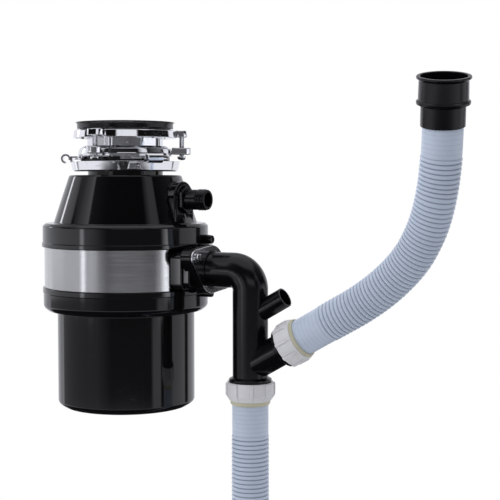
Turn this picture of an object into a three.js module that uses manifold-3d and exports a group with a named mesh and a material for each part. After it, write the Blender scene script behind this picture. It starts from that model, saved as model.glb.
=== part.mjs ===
// Kitchen garbage disposal hung from a three-bolt sink mount, with its discharge elbow and two waste hoses.
// Millimetres, +Z up. The origin is on the disposer's axis, level with the underside of the sink's rim.
// +X points from the disposer to its discharge elbow.
import * as THREE from 'three';
import { mergeVertices } from 'three/addons/utils/BufferGeometryUtils.js';
import Module from 'manifold-3d';

const wasm = await Module();
wasm.setup();

// ---------------------------------------------------------------- driving dimensions

const GAP = 0.3; // clearance between pieces that touch
const SIDES = 20; // facets round the large turned pieces
const SMALL_SIDES = 12; // facets round tubes, nuts and bearings
const PIN_SIDES = 8; // facets round screws and pins
const SOCKET_SIDES = 16; // facets round the nuts, seals and sockets at the hose ends

const THROAT_R = 40; // bore of the sink flange
const TUBE_R = 42.1; // outside of the sink flange's tube
const BOLT_CIRCLE_R = 62.8; // the three mounting screws
const BOLT_AZIMUTHS = [-87, 33, 153];
// Undersides of the three screw heads, each turned in a little more or less.
const SCREW_HEAD_Z = [-41.4, -40.2, -40.8];
const LOOP_AZIMUTHS = [-28, -148, 92]; // rolled loops of the lock ring

const NECK_R = 41.7;
const CONE_TOP = -57;
const COLLAR_TOP = -110;
const COLLAR_R = 92.2;
const BAND_TOP = -136.3;
const BAND_BOTTOM = -180.7;
const BAND_R = 90.3;
const TRIM_BOTTOM = -209.2;
const CAN_R = 76.4;
const CAN_BOTTOM = -314;
const CAN_WALL = 1.6;

const INLET_Z = -83.8; // dishwasher inlet axis
const INLET_R = 11;
const INLET_BORE_R = 8;
const INLET_END_X = 106.4;
const INLET_BOSS_X = 76.5;

const OUTLET_Z = -158.6; // discharge axis
const OUTLET_BORE_R = 16;
const BOSS_FACE_X = 109.7;
const PLATE_X = 110;
const PLATE_THICK = 2;
const PLATE_TILT = 22.5; // degrees the plate's two screws are turned from level
const PLATE_SCREW_R = 36.4;

const PIPE_R = 18.9;
const PIPE_BORE_R = 16.6;
const PIPE_X = 158; // axis of the elbow's vertical leg
const BEND_R = 20;
const SPIGOT_BOTTOM = -288;
const BRANCH_ANGLE = 30; // degrees above level, both branches
const SMALL_BRANCH = { root: -208.5, radius: 10.7, bore: 9, length: 47.3 };
const SIDE_BRANCH = { root: -261, radius: 16.7, bore: 14.2, collar: 45.5, end: 59 };

const HOSE_R = 19.4;
const HOSE_BORE_R = 16.8;
const SOCKET_R = 19.8; // where a hose end slides in
const HOSE_SIDES = 8;

const TURNTABLE_R = 74.5;
const TURNTABLE_TOP = -133.5;
const TURNTABLE_THICK = 3;
const LUG_PIN_R = 46;
const SHAFT_R = 8;
const SHAFT_TIP_R = 6;

// Centre line of the side hose, from inside its nut to inside the waste adapter.
const SIDE_HOSE_ROUTE = [
  [201.3, 0, -236], [223, 0, -223.5], [244.6, 0, -211], [262, 0, -201], [278, 0, -191.8],
  [293, 0, -182], [307, -1, -171.8], [320, -2, -160.6], [332, -4, -148.8], [343, -7, -136],
  [352, -10.6, -122], [359.2, -14.3, -108.8], [365, -18.2, -95], [369.6, -22, -81.5],
  [373.2, -25.2, -67.5], [376.2, -28.8, -53.5], [378.6, -32.3, -39.5], [380.5, -35.8, -25.5],
  [382.1, -39.4, -11], [383.8, -43.6, 6],
];
const LOWER_HOSE_TOP = -283;
const LOWER_HOSE_BOTTOM = -600;
const ADAPTER_BASE = [382, -39.3, -12.2];
const ADAPTER_AXIS = new THREE.Vector3(0.098, -0.241, 0.965).normalize();

// ---------------------------------------------------------------- finishes

const FINISH = {
  glossBlack: { color: 0x0b0b0d, roughness: 0.16, metalness: 0 },
  satinBlack: { color: 0x141418, roughness: 0.38, metalness: 0 },
  rubber: { color: 0x121214, roughness: 0.6, metalness: 0 },
  chrome: { color: 0xe4e4ea, roughness: 0.08, metalness: 1 },
  brushedSteel: { color: 0xa9a9ac, roughness: 0.32, metalness: 1 },
  castMetal: { color: 0x9b9ca0, roughness: 0.55, metalness: 1 },
  steel: { color: 0x77787c, roughness: 0.4, metalness: 1 },
  copper: { color: 0xb3663a, roughness: 0.45, metalness: 1 },
  greyHose: { color: 0xb9c3d6, roughness: 0.5, metalness: 0 },
  whiteNut: { color: 0xeceaf2, roughness: 0.45, metalness: 0 },
  oliveSeal: { color: 0xa39a5a, roughness: 0.6, metalness: 0 },
  redButton: { color: 0xb01a16, roughness: 0.4, metalness: 0 },
};

const assembly = new THREE.Group();
assembly.name = 'garbage_disposal';

function addPart(name, geometry, finish) {
  const mesh = new THREE.Mesh(geometry, new THREE.MeshStandardMaterial(FINISH[finish]));
  mesh.name = name;
  assembly.add(mesh);
  return mesh;
}

// ---------------------------------------------------------------- shape helpers

const rad = THREE.MathUtils.degToRad;

/** Closed ring of [radius, z] corners turned about Z; corners on the axis make it solid. */
function turned(profile, sides = SIDES) {
  const onAxis = profile.some(([r]) => r === 0);
  let area = 0;
  profile.forEach(([r, z], i) => {
    const [nextR, nextZ] = profile[(i + 1) % profile.length];
    area += r * nextZ - nextR * z;
  });
  const ordered = area > 0 ? [...profile] : [...profile].reverse();
  if (onAxis) {
    while (!(ordered[0][0] === 0 && ordered.at(-1)[0] === 0)) ordered.push(ordered.shift());
  } else {
    ordered.push(ordered[0]);
  }
  const points = ordered.map(([r, z]) => new THREE.Vector2(r, z));
  return new THREE.LatheGeometry(points, sides).rotateX(Math.PI / 2);
}

/** Upright cylinder about Z from one height to another. */
function drum(radius, low, high, sides = PIN_SIDES) {
  return new THREE.CylinderGeometry(radius, radius, high - low, sides)
    .rotateX(Math.PI / 2)
    .translate(0, 0, (low + high) / 2);
}

function block(lowCorner, highCorner) {
  const [x0, y0, z0] = lowCorner;
  const [x1, y1, z1] = highCorner;
  return new THREE.BoxGeometry(x1 - x0, y1 - y0, z1 - z0)
    .translate((x0 + x1) / 2, (y0 + y1) / 2, (z0 + z1) / 2);
}

/** A flat outline in X and Y raised to a height range. */
function plate(shape, low, high, curveSegments = 6) {
  const options = { depth: high - low, bevelEnabled: false, curveSegments };
  return new THREE.ExtrudeGeometry(shape, options).translate(0, 0, low);
}

/** Lays geometry built about +Z along +X instead: local X becomes -Z and local Z becomes X. */
function alongX(geometry) {
  return geometry.rotateY(Math.PI / 2);
}

function toSolid(geometry) {
  const bare = geometry.clone();
  bare.deleteAttribute('normal');
  bare.deleteAttribute('uv');
  const welded = mergeVertices(bare, 1e-4);
  const corners = welded.index.array;
  const kept = [];
  for (let i = 0; i < corners.length; i += 3) {
    const [a, b, c] = [corners[i], corners[i + 1], corners[i + 2]];
    if (a !== b && b !== c && c !== a) kept.push(a, b, c);
  }
  const vertProperties = Float32Array.from(welded.attributes.position.array);
  const triVerts = Uint32Array.from(kept);
  return new wasm.Manifold(new wasm.Mesh({ numProp: 3, vertProperties, triVerts }));
}

function toGeometry(solid) {
  const mesh = solid.getMesh();
  const geometry = new THREE.BufferGeometry();
  geometry.setAttribute('position', new THREE.BufferAttribute(mesh.vertProperties, 3));
  geometry.setIndex(new THREE.BufferAttribute(mesh.triVerts, 1));
  const faceted = geometry.toNonIndexed();
  faceted.computeVertexNormals();
  return faceted;
}

/** Joins the first list of geometries and cuts the second list away. */
function combine(added, removed = []) {
  let solid = toSolid(added[0]);
  for (const extra of added.slice(1)) solid = solid.add(toSolid(extra));
  for (const cut of removed) solid = solid.subtract(toSolid(cut));
  return toGeometry(solid);
}

function aroundZ(geometry, degrees) {
  return geometry.rotateZ(rad(degrees));
}

/** Outline of a round-ended tab that starts at the axis side and ends at its tip radius. */
function tabOutline(innerR, tipR, halfWidth) {
  const shape = new THREE.Shape();
  shape.moveTo(innerR, -halfWidth);
  shape.lineTo(tipR - halfWidth, -halfWidth);
  shape.absarc(tipR - halfWidth, 0, halfWidth, -Math.PI / 2, Math.PI / 2, false);
  shape.lineTo(innerR, halfWidth);
  return shape;
}

/** Part of a flat ring between two azimuths. */
function sectorOutline(innerR, outerR, from, to, steps = 6) {
  const shape = new THREE.Shape();
  for (let i = 0; i <= steps; i++) {
    const angle = rad(from + ((to - from) * i) / steps);
    const [x, y] = [outerR * Math.cos(angle), outerR * Math.sin(angle)];
    if (i === 0) shape.moveTo(x, y);
    else shape.lineTo(x, y);
  }
  for (let i = steps; i >= 0; i--) {
    const angle = rad(from + ((to - from) * i) / steps);
    shape.lineTo(innerR * Math.cos(angle), innerR * Math.sin(angle));
  }
  return shape;
}

// ---------------------------------------------------------------- sink mount

function buildSinkMount() {
  addPart('rim_seal', turned([
    [THROAT_R + 0.6, 0], [53.6, 0], [53.6, 0.9], [55, 0.9], [55, 1.5], [46, 1.5], [TUBE_R, 0.8],
    [THROAT_R + 0.6, 0.8],
  ]), 'rubber');

  addPart('sink_flange', turned([
    [THROAT_R, -41], [TUBE_R, -41], [TUBE_R, -29.4], [41.2, -29.4], [41.2, -27], [TUBE_R, -27],
    [TUBE_R, -2.3], [51.5, -2.3], [51.5, -GAP], [41.5, -GAP], [THROAT_R, -1.8],
  ]), 'chrome');

  addPart('sink_gasket', turned([
    [TUBE_R + GAP, -6], [53.5, -6], [53.5, -GAP], [51.8, -GAP], [51.8, -2.6], [TUBE_R + GAP, -2.6],
  ]), 'rubber');

  const pressedRing = turned([
    [TUBE_R + 0.5, -6.3], [53.8, -6.3], [56.6, -8.4], [57.5, -16], [55.7, -16], [55, -9.2],
    [53.2, -8.2], [TUBE_R + 0.5, -8.2],
  ]);
  const screwEars = BOLT_AZIMUTHS.map((a) => aroundZ(block([55.9, -9, -14.8], [69.4, 9, -7.6]), a));
  const earHollows = BOLT_AZIMUTHS.map((a) => aroundZ(block([57.8, -7.4, -16], [67.8, 7.4, -9.2]), a));
  const tappedHoles = screwHoles(3.3, -17, -5);
  addPart('support_flange', combine([pressedRing, ...screwEars], [...earHollows, ...tappedHoles]), 'chrome');

  addPart('mounting_ring', mountingRing(), 'chrome');

  addPart('snap_ring', turned([[41.5, -29.1], [44.8, -29.1], [44.8, -27.3], [41.5, -27.3]]), 'steel');

  BOLT_AZIMUTHS.forEach((azimuth, i) => {
    const base = SCREW_HEAD_Z[i];
    const head = turned([[0, base], [4, base], [5, base + 1], [5, base + 4], [0, base + 4]], PIN_SIDES);
    const shank = drum(3, base + 3.5, -7.8);
    const screw = addPart(`mount_screw_${i + 1}`, combine([head, shank], [
      block([-4, -0.6, base - 1], [4, 0.6, base + 1.5]),
    ]), 'chrome');
    screw.position.set(BOLT_CIRCLE_R * Math.cos(rad(azimuth)), BOLT_CIRCLE_R * Math.sin(rad(azimuth)), 0);
  });
}

function screwHoles(radius, low, high) {
  return BOLT_AZIMUTHS.map((a) => aroundZ(drum(radius, low, high).translate(BOLT_CIRCLE_R, 0, 0), a));
}

/** Domed ring with three screw ears and three legs whose outward ledges carry the lock ring. */
function mountingRing() {
  const dome = turned([
    [TUBE_R + 0.5, -25], [45.5, -25], [49.4, -26.6], [51.7, -29.6], [52.3, -33], [52.3, -36], [50.4, -36],
    [50.4, -33.2], [49.9, -30.6], [48, -28.2], [45.2, -26.9], [TUBE_R + 0.5, -26.9],
  ]);
  const ears = BOLT_AZIMUTHS.map((a) => aroundZ(plate(tabOutline(51.4, 73.2, 8), -34.1, -26.6, 4), a));
  const earHollows = BOLT_AZIMUTHS.map((a) => aroundZ(plate(tabOutline(53, 71.5, 6.3), -35, -28.4, 4), a));
  const legs = [];
  for (const azimuth of LOOP_AZIMUTHS) {
    legs.push(plate(sectorOutline(50.4, 52.3, azimuth - 34, azimuth + 30), -40, -35.5));
    legs.push(plate(sectorOutline(51, 56.6, azimuth - 18, azimuth + 30), -40, -38.2));
  }
  return combine([dome, ...ears, ...legs], [...earHollows, ...screwHoles(3.5, -36, -25)]);
}

// ---------------------------------------------------------------- lock ring

function buildLockRing() {
  const cone = turned([
    [43.2, -53], [57, -53], [58.4, -51.6], [60.6, -41.8], [59, -41.8], [57.2, -50], [56.2, -51.2],
    [43.2, -51.2],
  ]);
  const hooks = [];
  for (const azimuth of LOOP_AZIMUTHS) {
    hooks.push(plate(sectorOutline(58.9, 61, azimuth - 9, azimuth + 9, 3), -43, -36.2));
    hooks.push(plate(sectorOutline(53, 61, azimuth - 9, azimuth + 9, 3), -37.9, -36.2));
    const loop = new THREE.Shape().absarc(65.6, -38.9, 5.3, 0, Math.PI * 2);
    loop.holes.push(new THREE.Path().absarc(65.6, -38.9, 3.2, 0, Math.PI * 2, true));
    const roll = plate(loop, -9, 9, 5).rotateX(Math.PI / 2);
    hooks.push(aroundZ(roll, azimuth));
  }
  const lug = aroundZ(block([58.8, -7, -50.5], [62.6, 7, -43.5]), -47);
  addPart('lock_ring', combine([cone, ...hooks, lug]), 'chrome');
}

// ---------------------------------------------------------------- upper housing

function buildUpperHousing() {
  addPart('mounting_gasket', turned([
    [36, -48.5], [50, -48.5], [51, -46], [50.6, -42], [49.4, -41], [49.4, -36.8], [42.8, -36.8],
    [42.8, -41.6], [36, -41.8],
  ]), 'rubber');

  const baffle = turned([
    [8, -50.6], [30, -46], [35.6, -46], [35.6, -42], [32, -42], [30, -44.2], [8, -48.8],
  ], SMALL_SIDES);
  const slits = [];
  for (let i = 0; i < 8; i++) slits.push(aroundZ(block([5, -0.5, -53], [27, 0.5, -40]), i * 45));
  addPart('splash_guard', combine([baffle], slits), 'rubber');

  const inletHole = () => alongX(drum(INLET_BORE_R, 40, 90, SMALL_SIDES)).translate(0, 0, INLET_Z);
  const hopper = turned([
    [NECK_R, -50.9], [50, -50.9], [50, -48.8], [36.5, -48.8], [36.5, -59], [56.5, -88], [71, -112],
    [71, -114.3], [82.3, -116.5], [82.3, -138.2], [84.5, -138.2], [84.5, -114.2], [73.6, -112],
    [59.1, -88], [NECK_R, -61],
  ]);
  addPart('hopper', combine([hopper], [inletHole()]), 'steel');

  addPart('top_cover', topCover(inletHole()), 'glossBlack');
  addPart('dishwasher_inlet', dishwasherInlet(), 'glossBlack');

  const toothSlots = [];
  for (let i = 0; i < 16; i++) toothSlots.push(aroundZ(block([74, -1.6, -136], [77.8, 1.6, -122]), i * 22.5));
  const wearRing = turned([[76, -138], [81.9, -138], [81.9, -117], [76, -117]]);
  addPart('grind_ring', combine([wearRing], toothSlots), 'steel');
}

/** Black cone and collar in one moulding, with the arched boss of the dishwasher inlet. */
function topCover(inletHole) {
  const shell = turned([
    [NECK_R + 0.4, CONE_TOP], [60, CONE_TOP], [62.1, -58], [63.2, -60], [79.1, -107.8],
    [79.9, COLLAR_TOP], [88.6, COLLAR_TOP], [91.4, -111.3], [COLLAR_R, -114], [COLLAR_R, -131],
    [93.1, -131.5], [93.1, -136], [89.6, -136], [89.6, -115.5], [87.2, -112.8], [77.6, -112.8],
    [76.2, -108], [60.4, -62], [58.6, -60.3], [NECK_R + 0.4, -60.3],
  ]);
  const arch = new THREE.Shape();
  arch.moveTo(-20, 111 + INLET_Z);
  arch.lineTo(20, 111 + INLET_Z);
  arch.lineTo(20, 0);
  arch.absarc(0, 0, 20, 0, Math.PI, false);
  const boss = plate(arch, 0, INLET_BOSS_X - 62, 8)
    .rotateX(Math.PI / 2)
    .rotateZ(Math.PI / 2)
    .translate(62, 0, INLET_Z);
  const post = alongX(drum(5, 86, 101.5)).translate(0, 18, -127.5);
  const coneInside = turned([
    [0, -112.8], [77.6, -112.8], [76.2, -108], [60.4, -62], [58.6, -60.3], [0, -60.3],
  ]);
  return combine([shell, boss, post], [coneInside, turned([
    [0, -150], [89.6, -150], [89.6, -115.5], [87.2, -112.8], [0, -112.8],
  ]), inletHole, alongX(drum(INLET_R + GAP, 66, 90, SMALL_SIDES)).translate(0, 0, INLET_Z)]);
}

function dishwasherInlet() {
  const outline = [
    [INLET_R, 66], [INLET_R, INLET_BOSS_X + GAP], [15.8, INLET_BOSS_X + GAP], [15.8, 82],
    [INLET_R, 82], [INLET_R, 95.4],
  ];
  for (let i = 0; i < 3; i++) {
    outline.push([INLET_R + 0.5, 96.4 + i * 3.2], [INLET_R - 0.3, 97.6 + i * 3.2]);
  }
  outline.push([INLET_R, INLET_END_X], [INLET_BORE_R, INLET_END_X], [INLET_BORE_R, 66]);
  return alongX(turned(outline, SMALL_SIDES)).translate(0, 0, INLET_Z);
}

// ---------------------------------------------------------------- band, drain and motor housing

function buildLowerHousing() {
  const bandStrip = turned([
    [BAND_R - 0.9, BAND_BOTTOM], [BAND_R, BAND_BOTTOM], [BAND_R, BAND_TOP], [BAND_R - 0.9, BAND_TOP],
  ]);
  addPart('steel_band', combine([bandStrip], [
    block([60, -39.3, BAND_BOTTOM - 1], [100, 39.3, BAND_TOP + 1]),
  ]), 'brushedSteel');

  addPart('drain_housing', drainHousing(), 'glossBlack');
  addPart('shaft_seal', turned([
    [SHAFT_R + GAP, -152], [15.6, -152], [15.6, -146.4], [SHAFT_R + GAP, -146.4],
  ], SMALL_SIDES), 'rubber');
  addPart('upper_bearing', turned([
    [SHAFT_R + GAP, -177.5], [16, -177.5], [16, -168.5], [SHAFT_R + GAP, -168.5],
  ], SMALL_SIDES), 'steel');

  const trim = turned([
    [89.2, -181], [92.4, -181], [92.4, -186.6], [91.7, -187], [91.6, -200.5], [90.4, -204],
    [86.5, -206.8], [CAN_R + 0.4, TRIM_BOTTOM], [CAN_R + 0.4, -207.2], [85.4, -205], [88.2, -202.4],
    [89.2, -199.8],
  ]);
  const post = alongX(drum(3.4, 88, 101.5)).translate(0, 18, -187.5);
  addPart('lower_trim_ring', combine([trim, post]), 'glossBlack');

  addPart('motor_can', motorCan(), 'glossBlack');
}

/** Cast pan under the grinding chamber, with the stepped boss that the elbow bolts to. */
function drainHousing() {
  const pan = turned([
    [84.3, -138.7], [89.1, -138.7], [89.1, -178.4], [16.3, -178.4], [16.3, -168.2], [8.6, -168.2],
    [8.6, -152.3], [15.9, -152.3], [15.9, -146], [21, -146], [21, -169], [24, -172], [78, -172],
    [84.3, -165],
  ]);
  const stage = (halfWidth, corner, low, high, from, to) => {
    const outline = roundedOutline(-halfWidth, low, halfWidth, high, corner);
    return standUp(plate(outline, from, to, 3));
  };
  const steps = [
    stage(38, 7, -179.6, -138.7, 80, 95.5),
    stage(35, 5, -176, -141.6, 90, 103),
    standUp(plate(platePadOutline(26.8, 10.2), 97.6, BOSS_FACE_X, 5)).translate(0, 0, OUTLET_Z),
  ];
  const chamber = turned([[0, -172], [84.3, -172], [84.3, -130], [0, -130]]);
  const cuts = [
    alongX(drum(OUTLET_BORE_R, 78, 120, SMALL_SIDES)).translate(0, 0, OUTLET_Z),
    alongX(drum(24.6, BOSS_FACE_X - 3.8, 120, SMALL_SIDES)).translate(0, 0, OUTLET_Z),
  ];
  for (const [y, z] of plateScrewPlaces()) {
    cuts.push(alongX(drum(2.8, 98.8, 120)).translate(0, y, OUTLET_Z + z));
  }
  const boltSockets = throughBoltPlaces().map(([x, y]) => drum(2.8, -179, -175).translate(x, y, 0));
  const bossOnly = toSolid(steps[0]).add(toSolid(steps[1])).add(toSolid(steps[2])).subtract(toSolid(chamber));
  return combine([pan, toGeometry(bossOnly)], [...cuts, ...boltSockets]);
}

/** Turns a plate drawn in Y and Z and raised along Z so that it is raised along +X. */
function standUp(geometry) {
  return geometry.rotateX(Math.PI / 2).rotateZ(Math.PI / 2);
}

function roundedOutline(x0, y0, x1, y1, r) {
  const shape = new THREE.Shape();
  shape.moveTo(x0 + r, y0);
  shape.lineTo(x1 - r, y0);
  shape.absarc(x1 - r, y0 + r, r, -Math.PI / 2, 0, false);
  shape.lineTo(x1, y1 - r);
  shape.absarc(x1 - r, y1 - r, r, 0, Math.PI / 2, false);
  shape.lineTo(x0 + r, y1);
  shape.absarc(x0 + r, y1 - r, r, Math.PI / 2, Math.PI, false);
  shape.lineTo(x0, y0 + r);
  shape.absarc(x0 + r, y0 + r, r, Math.PI, 1.5 * Math.PI, false);
  return shape;
}

/** Screw places of the flange plate as [y, z] offsets from the discharge axis. */
function plateScrewPlaces() {
  const y = PLATE_SCREW_R * Math.cos(rad(PLATE_TILT));
  const z = PLATE_SCREW_R * Math.sin(rad(PLATE_TILT));
  return [[-y, z], [y, -z]];
}

/** Oval of a round middle and two smaller ears, drawn in Y and Z about the discharge axis. */
function platePadOutline(middleR, earR) {
  const apart = PLATE_SCREW_R;
  const lean = Math.asin((middleR - earR) / apart);
  const tilt = rad(180 - PLATE_TILT);
  const shape = new THREE.Shape();
  for (const turn of [0, Math.PI]) {
    const axis = tilt + turn;
    const ear = [apart * Math.cos(axis), apart * Math.sin(axis)];
    const from = axis - Math.PI / 2 + lean;
    const to = axis + Math.PI / 2 - lean;
    if (turn === 0) shape.moveTo(ear[0] + earR * Math.cos(from), ear[1] + earR * Math.sin(from));
    shape.absarc(ear[0], ear[1], earR, from, to, false);
    shape.absarc(0, 0, middleR, to, from + Math.PI, false);
  }
  return shape;
}

function motorCan() {
  const can = turned([
    [0, CAN_BOTTOM], [66, CAN_BOTTOM], [72, -311.6], [75.4, -307.4], [CAN_R, -302], [CAN_R, -178.8],
    [CAN_R - CAN_WALL, -178.8], [CAN_R - CAN_WALL, -301.6], [73.8, -306.4], [71, -310.2],
    [65.6, CAN_BOTTOM + CAN_WALL], [0, CAN_BOTTOM + CAN_WALL],
  ]);
  return combine([can], [
    drum(9, CAN_BOTTOM - 1, CAN_BOTTOM + 3, SMALL_SIDES),
    drum(6.8, CAN_BOTTOM - 1, CAN_BOTTOM + 3, SMALL_SIDES).translate(-46, 0, 0),
    drum(7.5, CAN_BOTTOM - 1, CAN_BOTTOM + 3, SMALL_SIDES).translate(38, 0, 0),
  ]);
}

// ---------------------------------------------------------------- motor

function throughBoltPlaces() {
  return [45, 135, 225, 315].map((a) => [70 * Math.cos(rad(a)), 70 * Math.sin(rad(a))]);
}

function buildStator() {
  addPart('stator_core', turned([[46.4, -262], [66, -262], [66, -212], [46.4, -212]]), 'steel');
  addPart('upper_winding', turned([
    [48, -211.7], [64, -211.7], [66, -200], [60, -194], [50, -196],
  ]), 'copper');
  addPart('lower_winding', turned([
    [48, -262.3], [64, -262.3], [66, -274], [60, -280], [50, -278],
  ]), 'copper');
  const endFrame = turned([
    [14.3, -297], [18, -297], [18, -292.5], [74, -292.5], [74, -288.5], [10, -288.5], [10, -291],
    [14.3, -291],
  ]);
  const boltHoles = throughBoltPlaces().map(([x, y]) => drum(2.8, -294, -287, 8).translate(x, y, 0));
  addPart('lower_end_frame', combine([endFrame], boltHoles), 'castMetal');
  addPart('lower_bearing', turned([
    [SHAFT_R + GAP, -297], [14, -297], [14, -291.3], [SHAFT_R + GAP, -291.3],
  ], SMALL_SIDES), 'steel');

  throughBoltPlaces().forEach(([x, y], i) => {
    const head = drum(4, -296.6, -292.8, 6);
    const shank = drum(2.3, -293.5, -175.3, 8);
    const bolt = addPart(`through_bolt_${i + 1}`, combine([head, shank]), 'steel');
    bolt.position.set(x, y, 0);
  });

  addPart('overload_protector', block([-58, -13, -308.2], [-34, 13, -297.5]), 'satinBlack');
}

function buildBottomFittings() {
  const button = addPart('reset_button', turned([
    [0, -319], [4.6, -319], [5.8, -318], [5.8, -311.9], [0, -311.9],
  ], SMALL_SIDES), 'redButton');
  button.position.set(-46, 0, 0);

  const lid = plate(roundedOutline(20, -18, 56, 18, 4), CAN_BOTTOM - 2.3, CAN_BOTTOM - GAP, 3);
  addPart('terminal_cover', combine([lid], [
    drum(7.5, CAN_BOTTOM - 4, CAN_BOTTOM + 1, SMALL_SIDES).translate(38, 0, 0),
  ]), 'steel');
  const screw = addPart('terminal_cover_screw', turned([
    [0, CAN_BOTTOM - 5], [3, CAN_BOTTOM - 5], [4, CAN_BOTTOM - 4], [4, CAN_BOTTOM - 2.6], [0, CAN_BOTTOM - 2.6],
  ], PIN_SIDES), 'chrome');
  screw.position.set(38, 14.4, 0);

  const gland = addPart('cable_gland', turned([
    [4.5, -319.8], [7, -319.8], [10, -318.4], [10, CAN_BOTTOM - 2.6], [7, CAN_BOTTOM - 2.6], [7, -309],
    [4.5, -309],
  ], SMALL_SIDES), 'rubber');
  gland.position.set(38, 0, 0);
}

// ---------------------------------------------------------------- rotor

function buildRotor() {
  const disc = turned([
    [SHAFT_TIP_R + 0.4, TURNTABLE_TOP], [TURNTABLE_R, TURNTABLE_TOP],
    [TURNTABLE_R, TURNTABLE_TOP - TURNTABLE_THICK], [14, TURNTABLE_TOP - TURNTABLE_THICK], [13, -143],
    [SHAFT_TIP_R + 0.4, -143],
  ]);
  const holes = [];
  for (const x of [-LUG_PIN_R, LUG_PIN_R]) holes.push(drum(3.2, -140, -130).translate(x, 0, 0));
  for (let i = 0; i < 6; i++) holes.push(aroundZ(drum(3, -140, -130, 8).translate(62, 0, 0), 30 + i * 60));
  addPart('turntable', combine([disc], holes), 'steel');

  const spindle = turned([
    [0, -300], [SHAFT_R, -300], [SHAFT_R, -143.4], [SHAFT_TIP_R, -143.4], [SHAFT_TIP_R, -125],
    [0, -125],
  ], SMALL_SIDES);
  addPart('motor_shaft', combine([spindle], [drum(3.2, -301, -291, 6)]), 'steel');

  addPart('rotor_core', turned([
    [SHAFT_R + GAP, -264], [44, -264], [45.6, -260], [45.6, -214], [44, -210], [SHAFT_R + GAP, -210],
  ]), 'castMetal');

  const nut = drum(10.5, TURNTABLE_TOP + GAP, -127, 6);
  addPart('shaft_nut', combine([nut], [drum(SHAFT_TIP_R + 0.4, -136, -125, SMALL_SIDES)]), 'steel');

  [-1, 1].forEach((side, i) => {
    const pin = addPart(`lug_pin_${i + 1}`, turned([
      [0, -139.5], [5.2, -139.5], [5.2, -136.8], [2.9, -136.8], [2.9, -117.9], [5.2, -117.9],
      [5.2, -115.8], [0, -115.8],
    ], PIN_SIDES), 'steel');
    pin.position.set(side * LUG_PIN_R, 0, 0);
    const lug = addPart(`impeller_lug_${i + 1}`, impellerLug(), 'steel');
    lug.position.set(side * LUG_PIN_R, 0, 0);
    lug.rotation.z = side > 0 ? 0 : Math.PI;
  });
}

/** Swinging lug: a low tail round the pin and a tall striking block at the far end. */
function impellerLug() {
  const outline = new THREE.Shape();
  outline.moveTo(0, -7);
  outline.lineTo(20, -8);
  outline.lineTo(25, -3);
  outline.lineTo(25, 5);
  outline.lineTo(20, 8);
  outline.lineTo(0, 7);
  outline.absarc(0, 0, 7, Math.PI / 2, 1.5 * Math.PI, false);
  const low = TURNTABLE_TOP + GAP;
  const body = plate(outline, low, -118.2, 4);
  return combine([body], [drum(3.3, low - 1, -115)]);
}

// ---------------------------------------------------------------- discharge side

function buildDischarge() {
  addPart('discharge_gasket', alongX(turned([
    [17.2, 106.2], [23.8, 106.2], [23.8, 107.8], [17.2, 107.8],
  ], SMALL_SIDES)).translate(0, 0, OUTLET_Z), 'rubber');

  const clamp = standUp(plate(platePadOutline(26, 9.2), PLATE_X, PLATE_X + PLATE_THICK, 6));
  const clampCuts = [alongX(drum(21.2, 100, 120, SOCKET_SIDES))];
  for (const [y, z] of plateScrewPlaces()) clampCuts.push(alongX(drum(3, 100, 120)).translate(0, y, z));
  addPart('flange_plate', combine([clamp], clampCuts).translate(0, 0, OUTLET_Z), 'chrome');

  plateScrewPlaces().forEach(([y, z], i) => {
    const head = alongX(drum(5, PLATE_X + PLATE_THICK + GAP, 115.8, 6));
    const shank = alongX(drum(2.5, 99.3, 113, 10));
    const screw = addPart(`flange_screw_${i + 1}`, combine([head, shank]), 'chrome');
    screw.position.set(0, y, OUTLET_Z + z);
  });

  addPart('discharge_elbow', dischargeElbow(), 'satinBlack');
}

/** Quarter turn from level to straight down, in the X and Z plane. */
class ElbowBend extends THREE.Curve {
  getPoint(t, target = new THREE.Vector3()) {
    const angle = (t * Math.PI) / 2;
    return target.set(
      PIPE_X - BEND_R + BEND_R * Math.sin(angle),
      0,
      OUTLET_Z - BEND_R + BEND_R * Math.cos(angle),
    );
  }
}

function ringOutline(radius, sides) {
  const corners = [];
  for (let i = 0; i < sides; i++) {
    const angle = (i / sides) * Math.PI * 2;
    corners.push(new THREE.Vector2(radius * Math.cos(angle), radius * Math.sin(angle)));
  }
  return corners;
}

/** The elbow's run as overlapping solids of one radius: level leg, bend, upright leg. */
function elbowRun(radius, startX, bottom) {
  const bend = new THREE.ExtrudeGeometry(new THREE.Shape(ringOutline(radius, SMALL_SIDES)), {
    steps: 7, extrudePath: new ElbowBend(), bevelEnabled: false,
  });
  return [
    alongX(drum(radius, startX, PIPE_X - BEND_R + 0.05, SMALL_SIDES)).translate(0, 0, OUTLET_Z),
    bend,
    drum(radius, bottom, OUTLET_Z - BEND_R + 0.05, SMALL_SIDES).translate(PIPE_X, 0, 0),
  ];
}

/** Puts geometry built along +Z on a branch axis that starts at the given height on the pipe. */
function onBranch(geometry, rootZ) {
  return geometry.rotateY(rad(90 - BRANCH_ANGLE)).translate(PIPE_X, 0, rootZ);
}

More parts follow.
